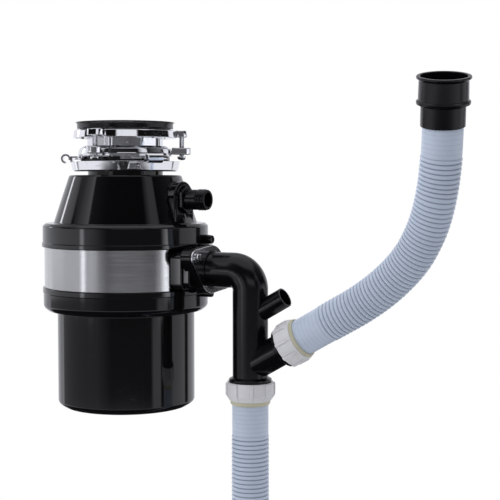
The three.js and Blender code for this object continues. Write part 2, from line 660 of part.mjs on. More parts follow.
function dischargeElbow() {
  const { root: smallRoot, radius: smallR, bore: smallBore, length: smallLength } = SMALL_BRANCH;
  const { root: sideRoot, radius: sideR, bore: sideBore, collar, end } = SIDE_BRANCH;
  const walls = [
    ...elbowRun(PIPE_R, 108.3, -277),
    alongX(drum(23.7, 108.1, 109.7, SMALL_SIDES)).translate(0, 0, OUTLET_Z),
    drum(22.8, -276.4, -272.6, SMALL_SIDES).translate(PIPE_X, 0, 0),
    drum(22.2, SPIGOT_BOTTOM, -274, SMALL_SIDES).translate(PIPE_X, 0, 0),
    onBranch(drum(smallR, 0, smallLength, 16), smallRoot),
    onBranch(drum(sideR, 0, collar + 1, SMALL_SIDES), sideRoot),
    onBranch(drum(21.2, collar, end, SMALL_SIDES), sideRoot),
  ];
  const bores = [
    ...elbowRun(PIPE_BORE_R, 100, SPIGOT_BOTTOM - 5),
    drum(SOCKET_R, SPIGOT_BOTTOM - 5, -280, SOCKET_SIDES).translate(PIPE_X, 0, 0),
    onBranch(drum(smallBore, 6, smallLength + 5, 16), smallRoot),
    onBranch(drum(sideBore, 6, end + 5, SMALL_SIDES), sideRoot),
    onBranch(drum(SOCKET_R, 49, end + 5, SOCKET_SIDES), sideRoot),
  ];
  return combine(walls, bores);
}

/** Ribbed union nut along +Z from its open end: body, then a chamfer down to the hose. */
function unionNut(outerR, threadR, length) {
  const bodyEnd = length * 0.72;
  return turned([
    [threadR, 0], [outerR - 0.8, 0], [outerR, 1], [outerR, bodyEnd], [outerR - 2.2, bodyEnd + 1],
    [22.2, length], [20.9, length], [20.9, bodyEnd + 0.5], [threadR, bodyEnd],
  ], SOCKET_SIDES);
}

/** Tapered seal along +Z: a flange under the nut and a sleeve that shows beyond it. */
function sealSleeve(flangeR, length) {
  return turned([
    [19.75, 0], [flangeR, 0], [flangeR, 2.4], [20.6, 3], [20.6, length], [19.75, length],
  ], SOCKET_SIDES);
}

function hoseTube(points) {
  const section = new THREE.Shape(ringOutline(HOSE_R, HOSE_SIDES));
  section.holes.push(new THREE.Path(ringOutline(HOSE_BORE_R, HOSE_SIDES)));
  const curve = new THREE.CatmullRomCurve3(points.map((p) => new THREE.Vector3(...p)));
  const options = { steps: points.length - 1, extrudePath: curve, bevelEnabled: false };
  return new THREE.ExtrudeGeometry(section, options);
}

/** Geometry built along +Z turned the other way up, so that it runs down from the given height. */
function hangingFrom(geometry, top) {
  return geometry.rotateX(Math.PI).translate(PIPE_X, 0, top);
}

function buildHoses() {
  addPart('lower_nut', hangingFrom(unionNut(26.7, 22.6, 21.3), -276.7), 'whiteNut');
  addPart('lower_seal', hangingFrom(sealSleeve(22.1, 12.5), SPIGOT_BOTTOM - GAP), 'oliveSeal');
  addPart('lower_hose', hoseTube([
    [PIPE_X, 0, LOWER_HOSE_TOP], [PIPE_X, 0, (LOWER_HOSE_TOP + LOWER_HOSE_BOTTOM) / 2],
    [PIPE_X, 0, LOWER_HOSE_BOTTOM],
  ]), 'greyHose');

  const { root, end } = SIDE_BRANCH;
  addPart('side_nut', onBranch(unionNut(24.3, 21.6, 20.7).translate(0, 0, 49), root), 'whiteNut');
  addPart('side_seal', onBranch(sealSleeve(21.1, 12.7).translate(0, 0, end + GAP), root), 'oliveSeal');
  addPart('side_hose', hoseTube(SIDE_HOSE_ROUTE), 'greyHose');

  const adapter = turned([
    [20.1, 0], [21.2, 0], [21.2, 20.5], [25.4, 21], [25.4, 25], [23.5, 25.5], [23.5, 44], [25.6, 45],
    [25.6, 47.3], [22, 47.3], [22, 27], [17.6, 25], [17.6, 22.4], [20.1, 22.4],
  ], SOCKET_SIDES);
  const upright = new THREE.Vector3(0, 0, 1);
  const lean = new THREE.Quaternion().setFromUnitVectors(upright, ADAPTER_AXIS);
  adapter.applyQuaternion(lean).translate(...ADAPTER_BASE);
  addPart('waste_adapter', adapter, 'satinBlack');
}

buildSinkMount();
buildLockRing();
buildUpperHousing();
buildLowerHousing();
buildStator();
buildBottomFittings();
buildRotor();
buildDischarge();
buildHoses();

export default assembly;
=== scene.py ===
"""Kitchen garbage disposal: the detailed visual model on its CAD frame, with materials, light and camera.

Lengths are millimetres until they are scaled by MM, and the frame is the CAD frame: +Z up along the
disposer's axis, +X from the axis towards the discharge elbow.
"""

import math

import bmesh
import bpy
from mathutils import Matrix, Vector


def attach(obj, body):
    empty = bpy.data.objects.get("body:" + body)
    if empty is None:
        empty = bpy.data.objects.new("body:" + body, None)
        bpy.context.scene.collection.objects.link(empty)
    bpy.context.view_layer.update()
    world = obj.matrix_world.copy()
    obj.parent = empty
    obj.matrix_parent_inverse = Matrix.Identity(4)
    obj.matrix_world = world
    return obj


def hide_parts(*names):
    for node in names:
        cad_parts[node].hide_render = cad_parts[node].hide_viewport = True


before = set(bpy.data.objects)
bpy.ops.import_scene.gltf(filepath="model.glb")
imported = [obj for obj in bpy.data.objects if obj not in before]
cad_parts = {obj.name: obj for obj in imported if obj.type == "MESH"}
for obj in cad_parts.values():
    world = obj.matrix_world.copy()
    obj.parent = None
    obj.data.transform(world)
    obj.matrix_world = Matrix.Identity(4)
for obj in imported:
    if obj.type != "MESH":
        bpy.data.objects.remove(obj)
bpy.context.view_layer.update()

MM = 0.001
TURN = 2 * math.pi
ROUND = 144          # facets round the large turned pieces
FINE_ROUND = 72      # facets round tubes and nuts
SCREW_ROUND = 32     # facets round screws
LOOP_FILLET = 0.35   # for a corner of a turned outline that gives none
TIP_FILLET = 0.3     # at the tips of a solid's end cones
NUT_ROUND = 540      # facets round the union nuts, so that their grips have sharp edges
UPRIGHT = Matrix.Identity(4)
ONTO_X = Matrix(((0, 0, 1, 0), (1, 0, 0, 0), (0, 1, 0, 0), (0, 0, 0, 1)))   # carries +Z onto +X


# ------------------------------------------------------------------ places shared with the CAD

BOLT_CIRCLE_R = 62.8
BOLT_AZIMUTHS = (-87, 33, 153)
SCREW_HEAD_Z = (-41.4, -40.2, -40.8)
LOOP_AZIMUTHS = (-28, -148, 92)
LUG_AZIMUTH = -47
TUBE_R = 42.1
THROAT_R = 40
NECK_R = 41.7
INLET_Z = -83.8
OUTLET_Z = -158.6
PIPE_X = 158
PIPE_R = 18.9
BEND_R = 20
BRANCH_ANGLE = 30
SMALL_ROOT_Z = -208.5
SIDE_ROOT_Z = -261
PLATE_TILT = 22.5
PLATE_SCREW_R = 36.4
HOSE_R = 20.1
HOSE_CUFF_R = 19.4
HOSE_BORE_R = 16.8
RIB_PITCH = 4.6
RIB_DEPTH = 1.3
CUFF_RIB_DEPTH = 0.2

SIDE_HOSE_ROUTE = [
    (201.3, 0, -236), (223, 0, -223.5), (244.6, 0, -211), (262, 0, -201), (278, 0, -191.8),
    (293, 0, -182), (307, -1, -171.8), (320, -2, -160.6), (332, -4, -148.8), (343, -7, -136),
    (352, -10.6, -122), (359.2, -14.3, -108.8), (365, -18.2, -95), (369.6, -22, -81.5),
    (373.2, -25.2, -67.5), (376.2, -28.8, -53.5), (378.6, -32.3, -39.5), (380.5, -35.8, -25.5),
    (382.1, -39.4, -11), (383.8, -43.6, 6),
]
LOWER_HOSE_TOP = -283
LOWER_HOSE_BOTTOM = -600
ADAPTER_BASE = Vector((382, -39.3, -12.2))
ADAPTER_AXIS = Vector((0.098, -0.241, 0.965)).normalized()


# ------------------------------------------------------------------ camera

CAMERA_TURN = 28          # degrees round from square on to the elbow's plane
CAMERA_DISTANCE = 1304
CAMERA_ASIDE = 139.1
CAMERA_Z = -63.6
CAMERA_DIP = 3.39         # degrees the lens looks down
LENS_LENGTH = 83.8
SENSOR_WIDTH = 36


def make_camera():
    """A long lens a little below the sink rim. Returns the level direction towards it."""
    azimuth = math.radians(CAMERA_TURN)
    away = Vector((math.sin(azimuth), -math.cos(azimuth), 0))
    sideways = Vector((math.cos(azimuth), math.sin(azimuth), 0))
    data = bpy.data.cameras.new("camera")
    data.sensor_width = SENSOR_WIDTH
    data.lens = LENS_LENGTH
    camera = bpy.data.objects.new("camera", data)
    camera.location = (away * CAMERA_DISTANCE + sideways * CAMERA_ASIDE + Vector((0, 0, CAMERA_Z))) * MM
    camera.rotation_euler = (math.radians(90 - CAMERA_DIP), 0, azimuth)
    bpy.context.scene.collection.objects.link(camera)
    bpy.context.scene.camera = camera
    return away


TOWARDS_CAMERA = make_camera()


# ------------------------------------------------------------------ mesh helpers

def mesh_of(verts, faces):
    mesh = bpy.data.meshes.new("shape")
    mesh.from_pydata([tuple(v) for v in verts], [], faces)
    mesh.validate()
    return mesh


def soften(profile, default, steps=5):
    """Rounds each corner of a closed [radius, height, fillet] outline; the fillet may be left out."""
    points = []
    count = len(profile)
    for i, corner in enumerate(profile):
        here = Vector(corner[:2])
        before = Vector(profile[i - 1][:2]) - here
        after = Vector(profile[(i + 1) % count][:2]) - here
        fillet = corner[2] if len(corner) > 2 else default
        half = before.angle(after, math.pi) / 2
        reach = fillet / max(math.tan(half), 0.05)
        reach = min(reach, before.length * 0.48, after.length * 0.48)
        if fillet == 0 or half > math.radians(88):
            points.append(here)
            continue
        start = here + before.normalized() * reach
        end = here + after.normalized() * reach
        for k in range(steps + 1):
            t = k / steps
            points.append(start * (1 - t) ** 2 + here * 2 * t * (1 - t) + end * t * t)
    return points


def turned(profile, sides=ROUND, place=UPRIGHT, shape=None):
    """Closed outline turned about Z. shape(angle, radius, height) may move each point."""
    outline = soften(profile, LOOP_FILLET)
    area = sum(a.x * b.y - b.x * a.y for a, b in zip(outline, outline[1:] + outline[:1]))
    if area < 0:
        outline.reverse()
    verts, faces = [], []
    count = len(outline)
    for i in range(sides):
        angle = TURN * i / sides
        for point in outline:
            r, z = (point.x, point.y) if shape is None else shape(angle, point.x, point.y)
            verts.append(place @ Vector((r * math.cos(angle), r * math.sin(angle), z)))
    for i in range(sides):
        here, there = i * count, ((i + 1) % sides) * count
        for k in range(count):
            after = (k + 1) % count
            faces.append((here + k, there + k, there + after, here + after))
    return mesh_of(verts, faces)


def solid_turned(profile, sides=SCREW_ROUND, place=UPRIGHT):
    """Outline turned into a closed solid, with a cone 1 mm high over each end."""
    below = (0, profile[0][1] - 1, 0)
    above = (0, profile[-1][1] + 1, 0)
    inner = soften([below, *profile, above], TIP_FILLET)[1:-1]
    verts = [place @ Vector((0, 0, inner[0].y)), place @ Vector((0, 0, inner[-1].y))]
    count = len(inner)
    faces = []
    for i in range(sides):
        angle = TURN * i / sides
        for point in inner:
            verts.append(place @ Vector((point.x * math.cos(angle), point.x * math.sin(angle), point.y)))
    for i in range(sides):
        here, there = 2 + i * count, 2 + ((i + 1) % sides) * count
        faces.append((0, there, here))
        faces.append((1, here + count - 1, there + count - 1))
        for k in range(count - 1):
            faces.append((here + k, there + k, there + k + 1, here + k + 1))
    return mesh_of(verts, faces)


def drum(radius, low, high, place=UPRIGHT, sides=FINE_ROUND):
    """Plain cylinder, mostly used to cut bores."""
    return solid_turned([(radius, low, 0), (radius, high, 0)], sides, place=place)


def taken_from(bm):
    """The bmesh as a finished mesh."""
    mesh = bpy.data.meshes.new("shape")
    bm.to_mesh(mesh)
    bm.free()
    return mesh


def raised(outline, low, high, bevel, place=UPRIGHT):
    """Flat outline raised along Z, with its long edges rounded."""
    bm = bmesh.new()
    ring = [bm.verts.new((x, y, low)) for x, y in outline]
    base = bm.faces.new(ring)
    if base.normal.z > 0 or base.calc_area() == 0:
        base.normal_flip()
    moved = bmesh.ops.extrude_face_region(bm, geom=[base])["geom"]
    for vert in (g for g in moved if isinstance(g, bmesh.types.BMVert)):
        vert.co.z = high
    bmesh.ops.recalc_face_normals(bm, faces=bm.faces)
    if bevel:
        flat = [e for e in bm.edges if abs(e.verts[0].co.z - e.verts[1].co.z) < 1e-6]
        bmesh.ops.bevel(bm, geom=flat, offset=bevel, segments=3, affect="EDGES", profile=0.5)
    bm.transform(place)
    return taken_from(bm)


def box_mesh(low, high, place):
    """Sharp-edged box, used to cut slots."""
    (x0, y0, z0), (x1, y1, z1) = low, high
    bm = bmesh.new()
    bmesh.ops.create_cube(bm, size=1)
    for vert in bm.verts:
        vert.co = Vector((
            x0 + (vert.co.x + 0.5) * (x1 - x0),
            y0 + (vert.co.y + 0.5) * (y1 - y0),
            z0 + (vert.co.z + 0.5) * (z1 - z0),
        ))
    bm.transform(place)
    return taken_from(bm)


def spaced(start, stop, steps):
    return [start + (stop - start) * k / steps for k in range(steps + 1)]


def arc(x, y, radius, angles):
    return [(x + radius * math.cos(angle), y + radius * math.sin(angle)) for angle in angles]


def hexagon(radius, turn):
    """Outline of a hexagon, turned by a share of one side."""
    return arc(0, 0, radius, [TURN * (k + turn) / 6 for k in range(6)])


def swept(section_r, points, sides=FINE_ROUND):
    """Round bar through the points with flat ends. section_r may be a function of distance."""
    path = [Vector(p) for p in points]
    tangents = [
        (path[min(i + 1, len(path) - 1)] - path[max(i - 1, 0)]).normalized() for i in range(len(path))
    ]
    side = tangents[0].orthogonal().normalized()
    verts, faces = [], []
    travelled = 0
    for i, (point, tangent) in enumerate(zip(path, tangents)):
        travelled += (point - path[i - 1]).length if i else 0
        side = (side - tangent * side.dot(tangent)).normalized()
        up = tangent.cross(side)
        radius = section_r(travelled) if callable(section_r) else section_r
        for k in range(sides):
            angle = TURN * k / sides
            verts.append(point + (side * math.cos(angle) + up * math.sin(angle)) * radius)
    for i in range(len(path) - 1):
        for k in range(sides):
            a, b = i * sides + k, i * sides + (k + 1) % sides
            faces.append((a, b, b + sides, a + sides))
    faces.append(tuple(reversed(range(sides))))
    faces.append(tuple(range((len(path) - 1) * sides, len(path) * sides)))
    return mesh_of(verts, faces)


def along(axis, origin=(0, 0, 0)):
    """Placement that carries +Z geometry onto an axis through the origin point."""
    return Matrix.Translation(Vector(origin)) @ Vector(axis).to_track_quat("Z", "Y").to_matrix().to_4x4()


def along_x(origin):
    """Placement that carries +Z geometry onto +X, with the outline's x and y axes on +Y and +Z."""
    return Matrix.Translation(Vector(origin)) @ ONTO_X


def shifted(x, y=0, z=0):
    return Matrix.Translation((x, y, z))


def about_z(degrees):
    return Matrix.Rotation(math.radians(degrees), 4, "Z")


AT_INLET = along_x((0, 0, INLET_Z))
AT_OUTLET = along_x((0, 0, OUTLET_Z))


def combined(added, removed=()):
    """Union of the added meshes less the removed ones, as one mesh."""
    scene = bpy.context.scene.collection
    main = bpy.data.objects.new("main", added[0])
    scene.objects.link(main)
    helpers = []
    for operation, meshes in (("UNION", added[1:]), ("DIFFERENCE", removed)):
        for mesh in meshes:
            helper = bpy.data.objects.new("helper", mesh)
            scene.objects.link(helper)
            helpers.append(helper)
            modifier = main.modifiers.new("join", "BOOLEAN")
            modifier.operation = operation
            modifier.solver = "EXACT"
            modifier.object = helper
    bpy.context.view_layer.update()
    result = bpy.data.meshes.new_from_object(main.evaluated_get(bpy.context.evaluated_depsgraph_get()))
    for helper in [main, *helpers]:
        bpy.data.objects.remove(helper)
    return result


def piece(name, mesh, material, body, *nodes, sharp=32, weighted=True):
    """Places a finished mesh in the scene in metres, riding on a body and standing for its CAD nodes."""
    mesh.transform(Matrix.Scale(MM, 4))
    mesh.materials.clear()
    mesh.materials.append(material)
    for polygon in mesh.polygons:
        polygon.material_index = 0
    mesh.shade_smooth()
    mesh.set_sharp_from_angle(angle=math.radians(sharp))
    item = bpy.data.objects.new(name, mesh)
    bpy.context.scene.collection.objects.link(item)
    if weighted:
        modifier = item.modifiers.new("even_normals", "WEIGHTED_NORMAL")
        modifier.keep_sharp = True
    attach(item, body)
    if nodes:
        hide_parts(*nodes)
    return item


# ------------------------------------------------------------------ materials

class Tree:
    """Steps that a material's nodes and the world's nodes share."""

    def feed(self, socket, value):
        """Links a socket to another node's output, or sets it to a plain value."""
        if isinstance(value, bpy.types.NodeSocket):
            self.links.new(value, socket)
        else:
            socket.default_value = value

    def maths(self, operation, first, second=0.0):
        node = self.nodes.new("ShaderNodeMath")
        node.operation = operation
        self.feed(node.inputs[0], first)
        self.feed(node.inputs[1], second)
        return node.outputs["Value"]


class Finish(Tree):
    """A node material built step by step around one Principled BSDF."""

    def __init__(self, name, colour, rough, metallic=0.0, **settings):
        self.material = bpy.data.materials.new(name)
        self.material.use_nodes = True
        self.nodes = self.material.node_tree.nodes
        self.links = self.material.node_tree.links
        self.shader = self.nodes["Principled BSDF"]
        self.place = self.nodes.new("ShaderNodeTexCoord").outputs["Object"]
        self.height = None
        self.shader.inputs["Base Color"].default_value = (*colour, 1)
        self.shader.inputs["Roughness"].default_value = rough
        self.shader.inputs["Metallic"].default_value = metallic
        self.colour = (*colour, 1)
        self.rough = rough
        for key, value in settings.items():
            self.shader.inputs[key.replace("_", " ")].default_value = value

    def stretched(self, scale, position=None):
        mapping = self.nodes.new("ShaderNodeMapping")
        mapping.inputs["Scale"].default_value = scale
        self.links.new(position or self.place, mapping.inputs["Vector"])
        return mapping.outputs["Vector"]

    def round_place(self):
        """Coordinates that run round the body, angle and height, for marks made by turning."""
        split = self.nodes.new("ShaderNodeSeparateXYZ")
        self.links.new(self.place, split.inputs["Vector"])
        angle = self.maths("ARCTAN2", split.outputs["Y"], split.outputs["X"])
        join = self.nodes.new("ShaderNodeCombineXYZ")
        self.links.new(angle, join.inputs["X"])
        self.links.new(split.outputs["Z"], join.inputs["Y"])
        return join.outputs["Vector"]

    def noise(self, scale, detail, vector=None, roughness=0.55, distortion=0.0):
        node = self.nodes.new("ShaderNodeTexNoise")
        node.inputs["Scale"].default_value = scale
        node.inputs["Detail"].default_value = detail
        node.inputs["Roughness"].default_value = roughness
        node.inputs["Distortion"].default_value = distortion
        self.links.new(vector or self.place, node.inputs["Vector"])
        return node.outputs["Fac"]

    def ramp(self, value, low, high, start=0.0, end=1.0):
        node = self.nodes.new("ShaderNodeMapRange")
        for key, number in (("From Min", low), ("From Max", high), ("To Min", start), ("To Max", end)):
            node.inputs[key].default_value = number
        self.links.new(value, node.inputs["Value"])
        return node.outputs["Result"]

    def tint(self, mask, colour):
        """Mixes another colour in where the mask is high."""
        node = self.nodes.new("ShaderNodeMix")
        node.data_type = "RGBA"
        self.links.new(mask, node.inputs["Factor"])
        self.feed(node.inputs[6], self.colour)
        self.feed(node.inputs[7], (*colour, 1))
        self.colour = node.outputs[2]
        self.links.new(self.colour, self.shader.inputs["Base Color"])

    def roughen(self, mask, amount):
        """Adds roughness where the mask is high."""
        self.rough = self.maths("ADD", self.maths("MULTIPLY", mask, amount), self.rough)
        self.links.new(self.rough, self.shader.inputs["Roughness"])

    def bump(self, height, strength, distance):
        node = self.nodes.new("ShaderNodeBump")
        node.inputs["Strength"].default_value = strength
        node.inputs["Distance"].default_value = distance
        self.links.new(height, node.inputs["Height"])
        if self.height is not None:
            self.links.new(self.height, node.inputs["Normal"])
        self.height = node.outputs["Normal"]
        self.links.new(self.height, self.shader.inputs["Normal"])

    def smudge(self, amount, scale, detail, low, high):
        """Rougher patches where a noise is high."""
        self.roughen(self.ramp(self.noise(scale, detail), low, high), amount)

    def mottle(self, colour, share, scale, detail, low, high):
        """Up to a share of another colour where a noise is high."""
        self.tint(self.ramp(self.noise(scale, detail), low, high, 0, share), colour)

    def grain(self, strength, distance, scale, detail):
        """Small relief from a noise."""
        self.bump(self.noise(scale, detail), strength, distance)

    def paint_hollow_shade(self, colour, share, high, low):
        """Painted shade: a darker colour down in the hollows of the shape, where shade falls."""
        hollow = self.nodes.new("ShaderNodeNewGeometry").outputs["Pointiness"]
        self.tint(self.ramp(hollow, high, low, 0, share), colour)

    def edge_wear(self, colour, low, high):
        """Lighter colour on convex edges, broken up by noise."""
        edge = self.nodes.new("ShaderNodeNewGeometry").outputs["Pointiness"]
        worn = self.ramp(edge, low, high)
        broken = self.maths("MULTIPLY", worn, self.ramp(self.noise(180, 6), 0.42, 0.62))
        self.tint(broken, colour)

    def scratches(self, amount, scale=260):
        """Short fine scratches that only roughen the gloss."""
        long_way = self.stretched((1.0, 1.0, 0.06))
        across = self.stretched((0.08, 1.0, 1.0))
        first = self.ramp(self.noise(scale, 2, long_way, 0.4, 0.6), 0.66, 0.72)
        second = self.ramp(self.noise(scale * 0.8, 2, across, 0.4, 0.6), 0.68, 0.73)
        self.roughen(self.maths("MAXIMUM", first, second), amount)


def gloss_black():
    """Black enamelled shell: deep gloss, faint orange peel, a little dust and handling marks."""
    finish = Finish("gloss_black_shell", (0.0035, 0.0035, 0.0042), 0.06, Specular_IOR_Level=0.42)
    finish.smudge(0.035, 14, 5, 0.45, 0.75)
    finish.scratches(0.05)
    dust = finish.ramp(finish.noise(1400, 2), 0.71, 0.8, 0, 0.12)
    finish.tint(dust, (0.05, 0.05, 0.055))
    finish.edge_wear((0.02, 0.02, 0.024), 0.57, 0.7)
    finish.grain(0.03, 0.0001, 620, 3)
    finish.grain(0.03, 0.0008, 20, 2)
    return finish.material


def satin_black():
    """Injection-moulded black plastic of the pipework: satin, fine grain, scuffs."""
    finish = Finish("satin_black_moulding", (0.003, 0.003, 0.004), 0.19, Specular_IOR_Level=0.36)
    finish.smudge(0.04, 22, 6, 0.4, 0.75)
    finish.scratches(0.04, 190)
    scuffs = finish.ramp(finish.noise(90, 8, finish.stretched((1, 1, 0.3))), 0.66, 0.78, 0, 0.12)
    finish.tint(scuffs, (0.02, 0.02, 0.024))
    finish.grain(0.08, 0.0001, 2600, 2)
    finish.grain(0.03, 0.0006, 30, 2)
    return finish.material


def black_rubber():
    finish = Finish("black_rubber", (0.004, 0.004, 0.005), 0.15, Specular_IOR_Level=0.4)
    finish.smudge(0.14, 30, 6, 0.35, 0.75)
    finish.mottle((0.015, 0.015, 0.017), 0.2, 60, 7, 0.56, 0.72)
    finish.grain(0.2, 0.00015, 1500, 3)
    finish.grain(0.12, 0.0006, 70, 3)
    return finish.material


def chrome():
    """Bright pressed chrome with polishing haze, scratches and slight press waviness."""
    finish = Finish("bright_chrome", (0.86, 0.86, 0.885), 0.045, 1.0)
    finish.smudge(0.13, 24, 6, 0.45, 0.8)
    finish.scratches(0.2, 320)
    finish.mottle((0.62, 0.62, 0.65), 0.5, 150, 7, 0.6, 0.72)
    finish.grain(0.06, 0.0012, 38, 2)
    finish.grain(0.03, 0.0001, 900, 3)
    return finish.material


def brushed_band():
    """Stainless band brushed round the body: fine lines that stretch the highlights up and down."""
    finish = Finish(
        "brushed_stainless", (0.50, 0.50, 0.505), 0.16, 1.0, Anisotropic=0.8, Anisotropic_Rotation=0.25,
    )
    tangent = finish.nodes.new("ShaderNodeTangent")
    tangent.direction_type = "RADIAL"
    tangent.axis = "Z"
    finish.links.new(tangent.outputs["Tangent"], finish.shader.inputs["Tangent"])
    grain = finish.stretched((0.35, 900.0, 1.0), finish.round_place())
    fine = finish.noise(6, 5, grain, 0.7)
    coarse = finish.noise(2, 4, finish.stretched((0.6, 260.0, 1.0), finish.round_place()), 0.6)
    finish.tint(finish.ramp(fine, 0.35, 0.7, 0, 0.4), (0.36, 0.36, 0.37))
    finish.tint(finish.ramp(coarse, 0.5, 0.75, 0, 0.2), (0.60, 0.60, 0.61))
    finish.roughen(finish.ramp(coarse, 0.3, 0.7), 0.06)
    finish.smudge(0.04, 18, 4, 0.5, 0.75)
    finish.bump(fine, 0.08, 0.00012)
    return finish.material


def plain_steel():
    """Turned and pressed steel of the inner parts, with faint tool rings."""
    colour = (0.33, 0.335, 0.345)
    finish = Finish("plain_steel", colour, 0.34, 1.0)
    finish.smudge(0.22, 40, 7, 0.35, 0.75)
    finish.mottle(tuple(c * 0.55 for c in colour), 0.6, 75, 8, 0.5, 0.72)
    finish.mottle(tuple(min(1, c * 1.6) for c in colour), 0.4, 420, 4, 0.62, 0.74)
    rings = finish.noise(5, 3, finish.stretched((0.5, 420.0, 1.0), finish.round_place()))
    finish.bump(rings, 0.12, 0.0001)
    finish.grain(0.1, 0.0002, 300, 4)
    return finish.material


def cast_metal():
    finish = Finish("cast_metal", (0.42, 0.42, 0.43), 0.5, 1.0)
    finish.smudge(0.2, 60, 6, 0.35, 0.75)
    finish.mottle((0.24, 0.24, 0.25), 0.6, 45, 8, 0.5, 0.7)
    finish.grain(0.5, 0.0003, 650, 5)
    return finish.material


def wound_copper():
    finish = Finish("wound_copper", (0.52, 0.21, 0.07), 0.34, 1.0)
    turns = finish.noise(3, 2, finish.stretched((1.5, 700.0, 1.0), finish.round_place()))
    finish.tint(finish.ramp(turns, 0.4, 0.65, 0, 0.8), (0.18, 0.06, 0.02))
    finish.smudge(0.2, 80, 5, 0.35, 0.7)
    finish.bump(turns, 0.6, 0.0004)
    return finish.material


def hose_plastic():
    """Pale grey-blue polypropylene, a little translucent and waxy, with fine dust and painted shade in the
    grooves.
    """
    finish = Finish(
        "pale_hose_plastic", (0.56, 0.645, 0.80), 0.3, Subsurface_Weight=0.06, Subsurface_Scale=0.001,
    )
    finish.shader.inputs["Subsurface Radius"].default_value = (0.8, 0.9, 1.0)
    finish.smudge(0.16, 30, 6, 0.35, 0.75)
    finish.mottle((0.45, 0.51, 0.63), 0.5, 12, 5, 0.45, 0.75)
    # painted shade: the grooves between the ribs darkened to a deep blue-grey
    finish.paint_hollow_shade((0.17, 0.20, 0.29), 0.85, 0.51, 0.46)
    finish.mottle((0.42, 0.44, 0.48), 0.3, 700, 3, 0.68, 0.78)
    finish.grain(0.06, 0.00015, 900, 3)
    return finish.material


def nut_plastic():
    finish = Finish(
        "off_white_moulding", (0.74, 0.745, 0.79), 0.33, Subsurface_Weight=0.08, Subsurface_Scale=0.002,
    )
    finish.shader.inputs["Subsurface Radius"].default_value = (1.0, 0.9, 0.9)
    finish.smudge(0.18, 50, 6, 0.35, 0.75)
    finish.mottle((0.70, 0.69, 0.73), 0.5, 34, 7, 0.5, 0.74)
    finish.mottle((0.45, 0.44, 0.46), 0.35, 800, 3, 0.7, 0.8)
    # painted shade: the hollows between the grips darkened
    finish.paint_hollow_shade((0.33, 0.34, 0.38), 0.8, 0.5, 0.44)
    finish.grain(0.1, 0.00015, 1100, 3)
    return finish.material


def olive_seal():
    finish = Finish("olive_seal", (0.60, 0.58, 0.45), 0.45, Subsurface_Weight=0.1, Subsurface_Scale=0.002)
    finish.smudge(0.2, 60, 6, 0.35, 0.75)
    finish.mottle((0.46, 0.44, 0.32), 0.5, 40, 6, 0.5, 0.72)
    finish.grain(0.15, 0.0002, 900, 3)
    return finish.material


def red_moulding():
    finish = Finish("red_moulding", (0.42, 0.012, 0.010), 0.3)
    finish.smudge(0.2, 120, 6, 0.35, 0.75)
    finish.mottle((0.25, 0.01, 0.01), 0.5, 160, 7, 0.55, 0.72)
    finish.grain(0.12, 0.00015, 1400, 3)
    return finish.material


GLOSS = gloss_black()
SATIN = satin_black()
RUBBER = black_rubber()
CHROME = chrome()
BAND = brushed_band()
STEEL = plain_steel()
CAST = cast_metal()
COPPER = wound_copper()
HOSE = hose_plastic()
NUT = nut_plastic()
OLIVE = olive_seal()
RED = red_moulding()


# ------------------------------------------------------------------ hoses

def smooth_route(route, spacing):
    """Points an equal distance apart on one smooth curve through the route."""
    points = [Vector(p) for p in route]
    ends = [points[0] * 2 - points[1], *points, points[-1] * 2 - points[-2]]
    dense = []
    for i in range(1, len(ends) - 2):
        p0, p1, p2, p3 = ends[i - 1:i + 3]
        for k in range(24):
            t = k / 24
            dense.append(0.5 * (
                2 * p1 + (p2 - p0) * t + (2 * p0 - 5 * p1 + 4 * p2 - p3) * t * t
                + (3 * p1 - p0 - 3 * p2 + p3) * t ** 3
            ))
    dense.append(points[-1])
    reach = [0]
    for a, b in zip(dense, dense[1:]):
        reach.append(reach[-1] + (b - a).length)
    count = max(2, round(reach[-1] / spacing))
    even, j = [], 0
    for i in range(count + 1):
        target = reach[-1] * i / count
        while j < len(reach) - 2 and reach[j + 1] < target:
            j += 1
        span = reach[j + 1] - reach[j]
        even.append(dense[j].lerp(dense[j + 1], (target - reach[j]) / span))
    return even, reach[-1]


def hose_radius(s, length, first_cuff, last_cuff):
    """Smooth moulded cuff, then ribs with a narrow groove between each, then the far cuff."""
    ramp_in = min(max((s - first_cuff) / 3, 0), 1)
    ramp_out = min(max((length - last_cuff - s) / 3, 0), 1)
    ribbed = min(ramp_in, ramp_out)
    phase = ((s - first_cuff) / RIB_PITCH) % 1
    crest = abs(math.sin(math.pi * phase)) ** 0.8
    faint = CUFF_RIB_DEPTH * (abs(math.sin(math.pi * phase)) ** 0.3 - 1)
    cuff = HOSE_CUFF_R + faint
    ribs = HOSE_R - RIB_DEPTH * (1 - crest)
    return cuff + (ribs - cuff) * ribbed


def hose_mesh(points, length, first_cuff, last_cuff, sides=64):
    """Open-ended ribbed tube: the outer rings, then the bore's rings back again."""
    count = len(points)
    outer = swept(lambda s: hose_radius(s, length, first_cuff, last_cuff), points, sides)
    inner = swept(HOSE_BORE_R, points, sides)
    verts = [v.co.copy() for v in outer.vertices] + [v.co.copy() for v in inner.vertices]
    shift = len(outer.vertices)
    faces = []
    for i in range(count - 1):
        for k in range(sides):
            a, b = i * sides + k, i * sides + (k + 1) % sides
            faces.append((a, b, b + sides, a + sides))
            faces.append((shift + b, shift + a, shift + a + sides, shift + b + sides))
    last = (count - 1) * sides
    for k in range(sides):
        b = (k + 1) % sides
        faces.append((k, shift + k, shift + b, b))
        faces.append((last + b, shift + last + b, shift + last + k, last + k))
    return mesh_of(verts, faces)


def make_hose(name, route, first_cuff, last_cuff):
    points, length = smooth_route(route, RIB_PITCH / 8)
    mesh = hose_mesh(points, length, first_cuff, last_cuff)
    hose = piece(name, mesh, HOSE, "disposer", name.replace("_ribbed", ""), sharp=60, weighted=False)
    return hose


BRANCH = Vector((math.cos(math.radians(BRANCH_ANGLE)), 0, math.sin(math.radians(BRANCH_ANGLE))))
SIDE_ROOT = Vector((PIPE_X, 0, SIDE_ROOT_Z))


